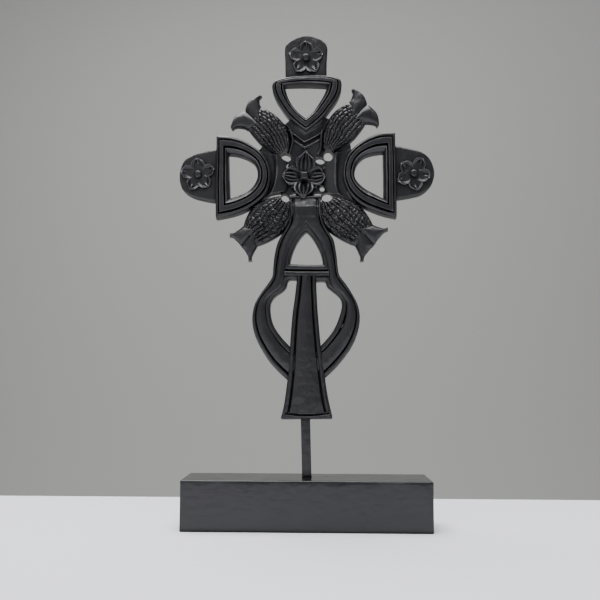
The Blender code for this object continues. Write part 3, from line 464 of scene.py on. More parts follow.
class Tree:
    """A node tree that is written from left to right, one value after another."""

    def __init__(self, name):
        self.tree = bpy.data.node_groups.new(name, "GeometryNodeTree")
        self.tree.interface.new_socket("Geometry", in_out="INPUT", socket_type="NodeSocketGeometry")
        self.tree.interface.new_socket("Geometry", in_out="OUTPUT", socket_type="NodeSocketGeometry")
        self.columns = 0
        self.start = self.node("NodeGroupInput")
        self.names = {}

    def node(self, kind, **settings):
        made = self.tree.nodes.new(kind)
        made.location.x = self.columns * NODE_STEP
        self.columns += 1
        for key, value in settings.items():
            setattr(made, key, value)
        return made

    def feed(self, socket, value):
        if isinstance(value, bpy.types.NodeSocket):
            self.tree.links.new(value, socket)
        else:
            socket.default_value = value

    def size(self, name, kind, value=None):
        """A named input of the tree."""
        made = self.tree.interface.new_socket(name, in_out="INPUT", socket_type=kind)
        if value is not None:
            made.default_value = value
        self.names[name] = made.identifier
        return self.start.outputs[name]

    def sum(self, operation, *values):
        made = self.node("ShaderNodeMath", operation=operation)
        for socket, value in zip(made.inputs, values):
            self.feed(socket, value)
        return made.outputs[0]

    def end(self, geometry, finish):
        """Real mesh, with its finish, on the way out."""
        realized = self.node("GeometryNodeRealizeInstances")
        coated = self.node("GeometryNodeSetMaterial")
        out = self.node("NodeGroupOutput")
        self.feed(realized.inputs["Geometry"], geometry)
        self.feed(coated.inputs["Geometry"], realized.outputs[0])
        self.feed(coated.inputs["Material"], finish)
        self.feed(out.inputs["Geometry"], coated.outputs[0])


def scale_tree():
    made = Tree("chip_carved_scales")
    rows = made.size("Rows", "NodeSocketFloat", 13.0)
    columns = made.size("Columns", "NodeSocketFloat", 8.0)
    groove_depth = made.size("Groove Depth", "NodeSocketFloat", 0.001)
    notch_depth = made.size("Notch Depth", "NodeSocketFloat", 0.0008)
    unevenness = made.size("Unevenness", "NodeSocketFloat", 0.0003)
    waver = made.size("Waver", "NodeSocketFloat", 0.8)
    seed = made.size("Seed", "NodeSocketFloat", 1.0)
    finish = made.size("Finish", "NodeSocketMaterial")

    def attribute(name):
        reader = made.node("GeometryNodeInputNamedAttribute", data_type="FLOAT")
        reader.inputs["Name"].default_value = name
        return reader.outputs["Attribute"]

    along, across, face = attribute("along"), attribute("across"), attribute("face")
    drift = made.node("ShaderNodeTexNoise", noise_dimensions="4D")
    for name, value in (("W", seed), ("Scale", 90.0), ("Detail", 1.0)):
        made.feed(drift.inputs[name], value)
    drift = made.sum("SUBTRACT", drift.outputs[0], 0.5)
    ridge_place = made.sum("ADD", made.sum("MULTIPLY", across, columns), made.sum("MULTIPLY", drift, waver))
    ridge = made.sum("FLOOR", ridge_place)
    in_ridge = made.sum("FRACT", ridge_place)
    from_groove = made.sum("MINIMUM", in_ridge, made.sum("SUBTRACT", 1.0, in_ridge))
    wall = made.sum("DIVIDE", from_groove, GROOVE_WIDTH)
    groove = made.sum("MAXIMUM", made.sum("SUBTRACT", 1.0, wall), 0.0)
    groove = made.sum("MULTIPLY", groove, groove_depth)

    off_middle = made.sum("POWER", made.sum("ABSOLUTE", made.sum("SUBTRACT", in_ridge, 0.5)), 2.0)
    tip = made.sum("MULTIPLY", off_middle, 4.0 * SCALE_TIP_ROUND)
    stagger = made.sum("MULTIPLY", made.sum("MODULO", ridge, 2.0), 0.5)
    stagger = made.sum("ADD", stagger, made.sum("MULTIPLY", drift, made.sum("MULTIPLY", waver, -2.0)))
    scale_place = made.sum("ADD", made.sum("MULTIPLY", along, rows), made.sum("ADD", tip, stagger))
    row = made.sum("FLOOR", scale_place)
    in_scale = made.sum("FRACT", scale_place)
    slope = made.sum("MAXIMUM", made.sum("SUBTRACT", 1.0, made.sum("DIVIDE", in_scale, NOTCH_SHARE)), 0.0)
    notch = made.sum("MULTIPLY", slope, notch_depth)

    spot = made.node("ShaderNodeCombineXYZ")
    for socket, value in zip(spot.inputs, (row, ridge, seed)):
        made.feed(socket, value)
    chance = made.node("ShaderNodeTexWhiteNoise", noise_dimensions="3D")
    made.feed(chance.inputs["Vector"], spot.outputs[0])
    uneven = made.sum("MULTIPLY", chance.outputs["Value"], unevenness)

    depth = made.sum("ADD", made.sum("MAXIMUM", groove, notch), uneven)
    at_side = made.sum("MINIMUM", across, made.sum("SUBTRACT", 1.0, across))
    at_side = made.sum("MINIMUM", made.sum("DIVIDE", at_side, 0.05), 1.0)
    at_end = made.sum("MINIMUM", made.sum("MULTIPLY", made.sum("SUBTRACT", 1.0, along), 14.0), 1.0)
    depth = made.sum("MULTIPLY", depth, made.sum("MULTIPLY", face, made.sum("MULTIPLY", at_side, at_end)))

    normal = made.node("GeometryNodeInputNormal")
    inward = made.node("ShaderNodeVectorMath", operation="SCALE")
    made.feed(inward.inputs[0], normal.outputs[0])
    made.feed(inward.inputs["Scale"], made.sum("MULTIPLY", depth, -1.0))
    moved = made.node("GeometryNodeSetPosition")
    made.feed(moved.inputs["Geometry"], made.start.outputs["Geometry"])
    made.feed(moved.inputs["Offset"], inward.outputs[0])
    made.end(moved.outputs[0], finish)
    return made


scales = scale_tree()
print("nodes in the tree of scales:", len(scales.tree.nodes))


# %% Running a tree and keeping plain mesh
def grown(item, made, values):
    """The item after the tree, as a plain mesh; inputs are set before the first evaluation."""
    modifier = item.modifiers.new(made.tree.name, "NODES")
    modifier.node_group = made.tree
    for name, value in values.items():
        modifier[made.names[name]] = value
    depsgraph = bpy.context.evaluated_depsgraph_get()
    result = bpy.data.meshes.new_from_object(item.evaluated_get(depsgraph), depsgraph=depsgraph)
    item.modifiers.remove(modifier)
    item.data = result
    return item


black_stain = bpy.data.materials.new("carved_black_wood")


def fish_face(share):
    """A half round face, fullest in the middle of the fish."""
    swell = math.sin(math.pi * (0.10 + 0.80 * share)) ** 0.6
    across = np.linspace(0, 1, SCALE_COLUMNS * POINTS_IN_SCALE + 1)
    dome = np.sqrt(np.maximum(0.0, 1.0 - (2 * across - 1) ** 2)) ** 0.8
    return np.stack([across, FISH_EDGE + (FISH_CROWN - FISH_EDGE) * dome * swell], axis=-1)


def fish_body(name, fish, seed):
    nose = np.array(fish["nose"])
    left = smooth([nose - NOSE_HALF_WIDTH] + [np.array(spot) for spot in fish["left_side"]], 8)
    right = smooth([nose + NOSE_HALF_WIDTH] + [np.array(spot) for spot in fish["right_side"]], 8)
    marks = np.linspace(0, 1, len(left))
    shares = np.linspace(0, 1, SCALE_ROWS * POINTS_IN_SCALE + 1)
    outlines, place = [], []
    for share in shares:
        face = fish_face(share)
        first, last = ([np.interp(share, marks, edge[:, axis]) for axis in (0, 1)] for edge in (left, right))
        back = [(1.0, FISH_SIDE_BACK), (0.96, 0.0), (0.04, 0.0), (0.0, FISH_SIDE_BACK)]
        outline = np.vstack([face, back])
        spots = np.array(first) * (1 - outline[:, :1]) + np.array(last) * outline[:, :1]
        outlines.append(in_wood(spots[:, 0], spots[:, 1], outline[:, 1]))
        place += [(share, across, 1.0) for across in face[:, 0]] + [(share, 0.0, 0.0)] * len(back)
    item = loft(name, np.array(outlines))
    for column, word in enumerate(("along", "across", "face")):
        layer = item.data.attributes.new(word, "FLOAT", "POINT")
        layer.data.foreach_set("value", np.array(place)[:, column])
    return grown(item, scales, {
        "Rows": float(SCALE_ROWS), "Columns": float(SCALE_COLUMNS), "Groove Depth": 0.0015,
        "Notch Depth": 0.0014, "Unevenness": 0.0008, "Waver": 1.4, "Seed": float(seed), "Finish": black_stain,
    })


fish_bodies = [fish_body("fish_" + name, fish, seed) for seed, (name, fish) in enumerate(FISH.items(), 1)]
print("faces in one fish:", len(fish_bodies[0].data.polygons))

# %% [markdown]
# ## Tails
#
# A tail is two smooth horns that part at a notch. Each horn runs from inside the body out to its
# tip between a leading and a trailing arc, and is round across.

# %% Tails
TAIL_CROWN = 12.6
TAIL_EDGE = 8.2
TAIL_BACK = 3.0
TAIL_THINNING = 2.6
INSIDE_SHARE = 0.12


def bow(start, end, far_from, bulge, count):
    """Points along an arc that bows away from a point; bulge is its rise as a share of its chord."""
    start, end = np.array(start, float), np.array(end, float)
    chord = end - start
    across = np.array([-chord[1], chord[0]])
    if across @ (np.array(far_from) - start) > 0:
        across = -across
    share = np.linspace(0, 1, count)[:, None]
    return start + chord * share + across * bulge * 4 * share * (1 - share)


def tail_face(share):
    crown = TAIL_CROWN - TAIL_THINNING * share
    across = np.linspace(0, 1, 17)
    dome = np.maximum(0.0, 1.0 - np.abs(2 * across - 1) ** 2.2) ** 0.7
    return np.stack([across, TAIL_EDGE + (crown - TAIL_EDGE) * dome], axis=-1)


def tail_lobe(name, fish, side):
    root, tip, notch = (np.array(fish[key], float) for key in (side + "_root", side + "_tip", "notch"))
    trailing = np.vstack([[fish["inside"]], bow(notch, tip, fish["nose"], fish["trailing_bulge"], 5)])
    leading = np.vstack([[(root + fish["inside"]) / 2], bow(root, tip, notch, -fish["leading_bulge"], 5)])
    width = trailing[-2] - leading[-2]
    half = fish["tip"] / 2 * width / np.linalg.norm(width)
    leading[-1], trailing[-1] = tip - half, tip + half
    run = [(tuple(a), tuple(b)) for a, b in zip(leading, trailing)]
    return carved(name, [run], tail_face, back=TAIL_BACK)


for fish in FISH.values():
    fish["left_root"], fish["right_root"] = fish["left_side"][-1], fish["right_side"][-1]
    middle = (np.array(fish["left_root"]) + fish["right_root"]) / 2
    fish["inside"] = middle + (np.array(fish["nose"]) - middle) * INSIDE_SHARE

left_lobes = [tail_lobe("left_lobe_" + name, fish, "left") for name, fish in FISH.items()]
right_lobes = [tail_lobe("right_lobe_" + name, fish, "right") for name, fish in FISH.items()]
print("tail lobes:", len(left_lobes + right_lobes))

# %% [markdown]
# ## Legs and ring
#
# Below the middle two strands part into legs, close again at a crossbar, and then swing out round
# the blade as a ring. Each strand is an outer bead, a groove and a broad rounded band. A second
# bead rims each hole. Where the strands are still one, above the fork, the bands run on flat.

# %% Strands
BEAD_SHARES = (0.115, 0.235)
BEAD_GROWN_AT = 0.25
BAND_CREST = 14.4
BAND_FOOT = 11.2
FORK_SHARE = 0.15
FORK_BLEND = 0.05
PANEL_DROP = 0.6
TUCK_SHARE = 0.93
TUCK_DEPTH = 4.0

LEFT_STRAND = [
    ((-15.6, 286.6), (-1.1, 286.6)), ((-16.3, 279.5), (-1.1, 278.6)), ((-18.7, 270.8), (-2.4, 271.1)),
    ((-23.3, 263.0), (-7.7, 264.1)), ((-27.0, 255.7), (-12.9, 256.2)), ((-30.1, 243.5), (-17.4, 244.6)),
    ((-31.3, 232.6), (-19.8, 232.7)), ((-32.1, 223.5), (-21.0, 222.0)), ((-36.6, 216.1), (-23.8, 213.6)),
    ((-42.9, 207.3), (-31.6, 207.3)), ((-47.8, 198.1), (-36.7, 201.1)), ((-50.0, 184.7), (-37.3, 189.5)),
    ((-48.0, 171.6), (-34.1, 178.1)), ((-42.0, 158.6), (-27.8, 167.1)), ((-32.2, 143.7), (-19.6, 157.2)),
    ((-20.5, 132.0), (-9.0, 147.6)), ((-12.0, 125.1), (-3.0, 141.1)),
]
RIGHT_STRAND = [
    ((12.0, 286.4), (-1.9, 286.4)), ((12.8, 279.5), (-1.9, 278.4)), ((15.8, 270.3), (-0.4, 271.1)),
    ((20.4, 262.8), (5.1, 264.1)), ((23.9, 256.6), (10.2, 256.8)), ((26.3, 243.5), (15.3, 244.6)),
    ((27.6, 232.4), (17.9, 232.5)), ((29.2, 224.7), (19.2, 222.7)), ((34.8, 216.8), (22.8, 213.5)),
    ((40.3, 208.4), (29.5, 208.1)), ((45.4, 198.3), (34.4, 201.0)), ((47.5, 185.9), (34.7, 190.6)),
    ((45.0, 171.4), (31.4, 178.1)), ((39.2, 158.5), (25.4, 168.7)), ((28.4, 143.6), (16.4, 158.3)),
    ((17.0, 132.5), (6.4, 149.0)), ((8.0, 125.0), (-0.0, 142.0)),
]


def strand_face(share):
    """Outer bead, V groove and broad band, which is flat above the fork and tucks in at its end."""
    bead = BEAD_SHARES[0] + (BEAD_SHARES[1] - BEAD_SHARES[0]) * min(1.0, share / BEAD_GROWN_AT)
    flat = min(1.0, max(0.0, (FORK_SHARE - share) / FORK_BLEND))
    tuck = TUCK_DEPTH * max(0.0, share - TUCK_SHARE) / (1 - TUCK_SHARE) + PANEL_DROP * flat
    side, foot = (low + (BAND_CREST - low) * flat for low in (13.0, BAND_FOOT))
    face = section_of(
        [(0.0, 11.0), (bead * 0.25, 12.5), (bead * 0.62, 13.2), (bead - 0.02, 12.8)],
        [(bead - 0.02, 12.8), (bead + 0.025, 11.2)],
        [(bead + 0.025, 11.2), (bead + 0.07, 13.2)],
        [(bead + 0.07, 13.2), (bead + 0.18, 14.0), (0.58, BAND_CREST), (0.80, 13.9 + 0.5 * flat),
         (0.95, side)],
        [(0.95, side), (1.0, foot)],
        steps=3,
    )
    face[:, 1] -= tuck
    return face


left_strand = carved("left_strand", [LEFT_STRAND], strand_face)
right_strand = carved("right_strand", [RIGHT_STRAND], strand_face)

# %% Rims of the lower holes, and the crossbar
RIM_FACE = section_of(
    [(0.0, 10.4), (0.08, 11.8), (0.28, 12.9), (0.55, 13.2), (0.80, 12.7)],
    [(0.80, 12.7), (1.0, 11.0)],
)

LEG_RIM = [
    [((-1.3, 265.3), (-1.4, 273.8)), ((-8.0, 257.8), (-12.1, 260.9)), ((-13.1, 247.3), (-18.0, 248.8)),
     ((-16.0, 234.9), (-21.7, 229.3))],
    [((-16.0, 234.9), (-21.7, 229.3)), ((-0.6, 234.4), (-0.6, 228.7)), ((14.0, 234.5), (19.8, 228.8))],
    [((14.0, 234.5), (19.8, 228.8)), ((11.5, 246.2), (16.6, 247.8)), ((5.1, 258.3), (8.9, 261.5)),
     ((-1.3, 265.3), (-1.4, 273.8))],
]
LEFT_RING_RIM = [
    ((-9.2, 220.4), (-9.2, 225.1)), ((-16.2, 220.5), (-20.2, 225.2)), ((-17.9, 219.0), (-23.3, 221.6)),
    ((-19.4, 213.8), (-24.8, 216.0)), ((-23.0, 209.8), (-28.0, 213.4)), ((-29.1, 205.6), (-33.5, 209.3)),
    ((-32.8, 200.8), (-37.7, 202.7)), ((-33.8, 192.8), (-38.8, 192.3)), ((-31.2, 180.2), (-36.0, 178.7)),
    ((-24.9, 170.0), (-29.1, 167.2)), ((-15.6, 159.6), (-19.3, 155.7)), ((-8.7, 151.8), (-11.7, 147.9)),
]
RIGHT_RING_RIM = [
    ((7.1, 219.1), (7.1, 223.7)), ((15.6, 219.2), (19.8, 223.8)), ((16.4, 218.6), (21.5, 221.1)),
    ((18.0, 214.4), (23.2, 216.7)), ((22.6, 210.5), (26.8, 214.4)), ((28.1, 205.9), (31.9, 210.0)),
    ((30.8, 201.5), (35.6, 203.7)), ((31.1, 195.4), (36.0, 194.5)), ((28.0, 184.5), (32.9, 182.6)),
    ((24.0, 175.3), (28.6, 172.8)), ((18.1, 167.1), (22.3, 164.1)), ((11.8, 160.4), (15.3, 156.3)),
    ((5.0, 153.5), (7.5, 149.5)),
]
CROSSBAR = [
    ((-20.8, 223.4), (-20.8, 229.0)), ((-1.0, 222.9), (-1.0, 228.6)), ((19.0, 223.4), (19.0, 228.8)),
]
CROSSBAR_FACE = section_of(
    [(0.0, 11.2), (0.16, 13.4)],
    [(0.16, 13.4), (0.35, 14.1), (0.65, 14.1), (0.84, 13.4)],
    [(0.84, 13.4), (1.0, 11.2)],
)

leg_rim = carved("leg_rim", LEG_RIM, RIM_FACE, closed=True)
left_ring_rim = carved("left_ring_rim", [LEFT_RING_RIM], RIM_FACE, steps=5)
right_ring_rim = carved("right_ring_rim", [RIGHT_RING_RIM], RIM_FACE, steps=5)
crossbar = carved("crossbar", [CROSSBAR], CROSSBAR_FACE)
print("strands, rims and crossbar are ready")

# %% [markdown]
# ## The blade
#
# The blade is a long tapering panel with a raised border down each side and a groove inside it.
# The panel is slightly crowned. At the foot a low curved strip closes it, and the strip's upper
# edge catches the light as a thin curved line.

# %% Blade
BLADE = [
    ((-9.6, 225.0), (7.8, 225.0)), ((-10.2, 216.0), (8.0, 216.0)), ((-14.1, 182.0), (10.1, 182.0)),
    ((-16.8, 140.0), (14.8, 140.0)), ((-19.9, 112.6), (19.2, 112.2)), ((-22.4, 99.8), (22.0, 100.1)),
    ((-23.3, 96.3), (22.6, 96.9)), ((-22.8, 94.6), (22.5, 95.3)),
]
BLADE_STEPS = 12
BLADE_FRONT = 15.0
BORDER_WIDTH = 4.0
BORDER_GROWTH = 1.4
GROOVE_HEIGHT = 12.7
PANEL_HEIGHT = 14.0
PANEL_CROWN = 0.9
STRIP_AT_SIDE = 5.2
STRIP_AT_MIDDLE = 3.0
STRIP_BEVEL = 1.3


def blade_body():
    ribs = smooth([first + last for first, last in BLADE], BLADE_STEPS)
    keep = ribs[:, 1] > 105.0
    foot = smooth([first + last for first, last in BLADE], 40)
    foot = foot[foot[:, 1] <= 105.0][::3]
    ribs = np.vstack([ribs[keep], foot, ribs[-1:]])
    outlines = []
    for rib in ribs:
        width = rib[2] - rib[0]
        down = (225.0 - rib[1]) / 130.0
        border = (BORDER_WIDTH + BORDER_GROWTH * down) / width
        inner = np.linspace(border * 1.25, 1 - border * 1.25, 25)
        crown = PANEL_HEIGHT - 0.2 + PANEL_CROWN * (1 - ((inner - 0.5) / (0.5 - border)) ** 2)
        raised = [
            (0.0, BLADE_FRONT - 2.2), (border * 0.10, BLADE_FRONT - 1.0), (border * 0.28, BLADE_FRONT - 0.25),
            (border * 0.5, BLADE_FRONT), (border * 0.72, BLADE_FRONT - 0.3), (border, GROOVE_HEIGHT),
        ]
        face = np.vstack([
            raised, np.stack([inner, crown], axis=-1),
            [(1 - across, height) for across, height in raised[::-1]],
        ])
        middle = (rib[1] + rib[3]) / 2
        off = np.abs(2 * face[:, 0] - 1)
        line = 95.4 + STRIP_AT_MIDDLE + (STRIP_AT_SIDE - STRIP_AT_MIDDLE) * off ** 2
        below = np.clip((line - middle) / STRIP_BEVEL, -1.0, 1.0)
        inside = np.clip((1 - off) / border - 1.0, 0.0, 1.0)
        rise = np.where(below < 0, 1.3 * -below, 2.2 * np.minimum(1, 2 * below))
        strip = GROOVE_HEIGHT + rise
        face[:, 1] = np.where((below > -1) & (inside > 0), np.minimum(strip, face[:, 1] + 2.0), face[:, 1])
        face[:, 1] -= 1.3 * max(0.0, (96.6 - middle) / 1.2) ** 2
        outline = np.vstack([face, [(1.0, 0.0), (0.0, 0.0)]])
        spots = rib[:2] * (1 - outline[:, :1]) + rib[2:] * outline[:, :1]
        outlines.append(in_wood(spots[:, 0], spots[:, 1], outline[:, 1]))
    return loft("blade", np.array(outlines))


blade = blade_body()
print("faces in the blade:", len(blade.data.polygons))

# %% [markdown]
# ## The middle
#
# Behind the big flower the wood is cut deep and pierced, so it stays dark. The side arms flare
# into cuffs, with a hollow beside the frame and a sharp arris. The top neck has two facets, and
# the bottom neck a smooth panel that rolls over at its top and sinks between the legs.

# %% Hub, cuffs and necks
HUB = [
    ((-18.5, 357.0), (14.5, 357.0)), ((-21.0, 346.0), (17.5, 346.0)), ((-26.5, 338.0), (23.5, 338.0)),
    ((-28.0, 318.0), (25.0, 318.0)), ((-24.0, 296.5), (21.0, 296.5)),
]
HUB_FACE = section_of([(0.0, 7.2), (0.5, 7.7), (1.0, 7.2)], steps=10)
WEB_FACE = section_of([(0.0, 8.0), (1.0, 8.3)])
LEFT_WEB = [((-46.0, 341.6), (-42.2, 346.2)), ((-30.0, 332.0), (-27.0, 343.0))]
RIGHT_WEB = [((39.8, 344.0), (39.2, 348.2)), ((26.0, 335.0), (27.0, 345.0))]

LEFT_CUFF_OUTSIDE = [
    (-44.0, 341.0), (-41.0, 334.0), (-36.6, 325.5), (-34.8, 317.0), (-36.6, 307.0), (-43.5, 295.0),
]
LEFT_CUFF_ARRIS = [
    (-29.6, 337.4), (-28.9, 333.0), (-28.6, 326.0), (-28.8, 318.4), (-30.0, 310.8), (-33.8, 300.4),
]
LEFT_CUFF_INSIDE = [
    (-21.8, 335.0), (-19.4, 330.5), (-18.0, 325.5), (-17.5, 318.0), (-18.0, 310.0), (-20.0, 303.0),
]
RIGHT_CUFF_OUTSIDE = [
    (43.5, 343.5), (37.6, 334.0), (33.8, 325.0), (32.6, 317.0), (34.3, 308.2), (41.5, 294.0),
]
RIGHT_CUFF_ARRIS = [
    (26.8, 339.2), (25.6, 333.0), (25.2, 326.0), (25.2, 318.4), (25.4, 309.0), (28.4, 299.4),
]
RIGHT_CUFF_INSIDE = [
    (19.2, 336.6), (16.0, 331.5), (14.5, 325.5), (14.0, 318.0), (14.5, 309.5), (18.0, 301.0),
]
CUFF_HOLLOW = section_of([(0.0, 10.4), (0.22, 8.8), (0.55, 8.6), (0.85, 10.8), (1.0, 13.0)])
CUFF_PLANE = section_of([(0.0, 13.0), (0.12, 12.5), (0.55, 11.5), (0.85, 10.4), (1.0, 8.6)])

LEFT_COLLAR = [
    ((-16.0, 360.2), (-14.6, 350.9)), ((-9.8, 355.6), (-9.4, 347.6)), ((-2.7, 351.2), (-2.2, 343.0)),
]
RIGHT_COLLAR = [
    ((12.9, 360.2), (11.4, 351.2)), ((4.3, 355.0), (5.2, 347.4)), ((-4.2, 351.2), (-3.3, 343.0)),
]
COLLAR_FACE = section_of(
    [(0.0, 7.8), (0.4, 7.8), (0.74, 8.0)],
    [(0.74, 8.0), (0.80, 10.3), (0.86, 10.5)],
    [(0.86, 10.5), (1.0, 10.1)],
)
LEFT_PLANE = [
    ((-15.4, 352.0), (-14.6, 350.4)), ((-15.8, 346.0), (-8.0, 346.2)), ((-17.0, 341.6), (-2.9, 343.2)),
    ((-18.4, 335.0), (-2.9, 335.0)),
]
RIGHT_PLANE = [
    ((13.4, 352.0), (11.6, 350.8)), ((13.0, 346.0), (3.4, 346.0)), ((12.2, 341.6), (-2.3, 343.2)),
    ((8.6, 335.0), (-2.3, 335.0)),
]
PLANE_HEIGHTS = (10.3, 8.4)
LEFT_NECK_EDGE = [
    ((-18.4, 361.0), (-16.2, 360.0)), ((-16.4, 354.6), (-13.6, 354.6)), ((-15.6, 349.4), (-12.8, 349.4)),
    ((-17.4, 343.2), (-14.6, 343.0)), ((-19.2, 337.6), (-16.4, 337.0)),
]
RIGHT_NECK_EDGE = [
    ((14.6, 361.0), (12.4, 360.0)), ((14.0, 354.6), (10.8, 354.6)), ((14.1, 349.3), (10.4, 349.3)),
    ((13.4, 342.6), (9.4, 343.0)), ((10.6, 337.0), (7.4, 338.4)),
]
NECK_EDGE_FACE = section_of([(0.0, 9.6), (0.25, 11.9), (0.6, 12.9)], [(0.6, 12.9), (0.8, 12.4), (1.0, 10.4)])
NECK_EDGE_FALL = 2.0

NECK_SHELF = [
    ((-16.6, 295.6), (-16.4, 299.3)), ((-9.4, 295.9), (-9.6, 298.6)), ((-2.4, 295.8), (-2.4, 298.0)),
    ((4.8, 295.9), (5.0, 298.6)), ((11.8, 295.6), (11.6, 299.3)),
]
NECK_SHELF_FACE = section_of(
    [(0.0, 10.0), (0.20, 12.7)], [(0.20, 12.7), (0.5, 13.3), (0.85, 12.6), (1.0, 10.8)],
)

NECK_PANEL = [
    ((-16.2, 295.6), (11.6, 295.6)), ((-16.2, 291.2), (11.8, 291.2)), ((-16.2, 287.4), (12.0, 287.4)),
    ((-15.8, 284.0), (12.0, 284.0)), ((-14.5, 279.0), (10.6, 279.0)), ((-10.8, 272.8), (7.6, 272.8)),
]
NECK_PANEL_HEIGHTS = [12.4, 13.5, 14.6, 14.6, 14.1, 12.0]
NECK_BORDER_HEIGHTS = [12.6, 13.4, 14.2, 13.4, 11.4, 9.0]
NECK_BORDER = [(0.0, -1.6), (0.012, -0.5), (0.03, 0.0), (0.055, -0.1), (0.07, -0.6)]
NECK_GROOVE = [(0.085, -1.6), (0.125, -1.7), (0.15, -0.3), (0.18, 0.0), (0.26, 0.0), (0.38, 0.0)]


def neck_plane_face(share):
    """A flat facet that sinks towards the flower."""
    high, low = PLANE_HEIGHTS
    top = high - (high - low) * share
    return section_of([(0.0, top), (0.5, top - 0.5), (1.0, top - 0.9)], steps=5)


def neck_edge_face(share):
    return NECK_EDGE_FACE - np.array([0.0, NECK_EDGE_FALL * share])


def neck_panel_face(share):
    """A panel that slopes up from under the shelf and rolls over, with a raised border each side."""
    marks = np.linspace(0, 1, len(NECK_PANEL_HEIGHTS))
    panel = float(np.interp(share, marks, NECK_PANEL_HEIGHTS))
    border = float(np.interp(share, marks, NECK_BORDER_HEIGHTS))
    half = [(across, border + height) for across, height in NECK_BORDER]
    half += [(across, panel + height) for across, height in NECK_GROOVE]
    return np.array(half + [(0.5, panel)] + [(1 - across, height) for across, height in half[::-1]])


def ribs_between(first_edge, second_edge):
    return list(zip(first_edge, second_edge))


hub = carved("hub", [HUB], HUB_FACE)
left_web = carved("left_web", [LEFT_WEB], WEB_FACE)
right_web = carved("right_web", [RIGHT_WEB], WEB_FACE)
left_hollow = carved("left_hollow", [ribs_between(LEFT_CUFF_OUTSIDE, LEFT_CUFF_ARRIS)], CUFF_HOLLOW)
right_hollow = carved("right_hollow", [ribs_between(RIGHT_CUFF_OUTSIDE, RIGHT_CUFF_ARRIS)], CUFF_HOLLOW)
left_plane = carved("left_cuff_plane", [ribs_between(LEFT_CUFF_ARRIS, LEFT_CUFF_INSIDE)], CUFF_PLANE)
right_plane = carved("right_cuff_plane", [ribs_between(RIGHT_CUFF_ARRIS, RIGHT_CUFF_INSIDE)], CUFF_PLANE)
left_collar = carved("left_collar", [LEFT_COLLAR], COLLAR_FACE)
right_collar = carved("right_collar", [RIGHT_COLLAR], COLLAR_FACE)
left_facet = carved("left_facet", [LEFT_PLANE], neck_plane_face)
right_facet = carved("right_facet", [RIGHT_PLANE], neck_plane_face)
left_neck_edge = carved("left_neck_edge", [LEFT_NECK_EDGE], neck_edge_face)
right_neck_edge = carved("right_neck_edge", [RIGHT_NECK_EDGE], neck_edge_face)
neck_shelf = carved("neck_shelf", [NECK_SHELF], NECK_SHELF_FACE)
neck_panel = carved("neck_panel", [NECK_PANEL], neck_panel_face)

# %% Piercings round the flower
PIERCINGS = [
    ((-20.5, 335.3), (4.8, 3.6), -25.0), ((-19.3, 327.8), (0.9, 3.2), -8.0),
    ((18.7, 336.3), (4.3, 5.5), 8.0), ((11.0, 332.3), (4.5, 3.2), -14.0), ((15.5, 326.3), (1.1, 2.4), -40.0),
    ((-21.0, 296.4), (3.4, 4.6), 30.0), ((-13.2, 300.8), (2.3, 1.7), 10.0),
    ((13.2, 306.0), (2.4, 2.8), 0.0), ((17.6, 297.2), (4.8, 4.7), 40.0), ((9.2, 300.9), (3.8, 1.8), 4.0),
]
PIERCING_SIDES = 28


def piercing(centre, halves, turn):
    """A cutter with an oval outline that runs right through the plank."""
    around = np.arange(PIERCING_SIDES) * 2 * math.pi / PIERCING_SIDES
    wide, high = halves[0] * np.cos(around), halves[1] * np.sin(around)
    cos, sin = math.cos(math.radians(turn)), math.sin(math.radians(turn))
    x = centre[0] + wide * cos - high * sin
    z = centre[1] + wide * sin + high * cos
    ends = [in_wood(x, z, np.full(PIERCING_SIDES, height)) for height in (-2.0, 19.0)]
    return loft("piercing", np.array(ends))


piercings = [piercing(*facts) for facts in PIERCINGS]
print("piercings:", len(piercings))

# %% [markdown]
# ## Flowers on the tabs
#
# Each tab carries a flower of five cupped petals round a button. One petal is modelled lying to
# the right of the flower's middle, and Geometry Nodes sets five of it in a ring. The tree turns
# and stretches each a little by a fixed seed, as no two carved petals are quite alike.

# %% One petal
PETAL_ROWS = 18
RAGGEDNESS = 0.05
PETAL_COLUMNS = 20
ROUND_PETAL = [(0.0, 0.30), (0.2, 0.62), (0.45, 0.92), (0.65, 1.0), (0.82, 0.86), (0.94, 0.50), (1.0, 0.10)]
POINTED_PETAL = [(0.0, 0.40), (0.3, 0.80), (0.52, 1.0), (0.68, 0.98), (0.80, 0.66), (0.90, 0.34), (1.0, 0.04)]
FAN_PETAL = [(0.0, 0.36), (0.3, 0.84), (0.5, 1.0), (0.66, 0.96), (0.80, 0.72), (0.90, 0.36), (1.0, 0.05)]
LEAF_OUTLINE = [(0.0, 0.60), (0.4, 1.0), (0.7, 0.70), (0.88, 0.36), (1.0, 0.05)]
TAB_PETAL = {
    "reach": 15.4, "width": 12.4, "root": 9.6, "rim": 13.2, "cup": 3.0, "flutes": 3, "flute": 1.3,
    "outline": ROUND_PETAL,
}


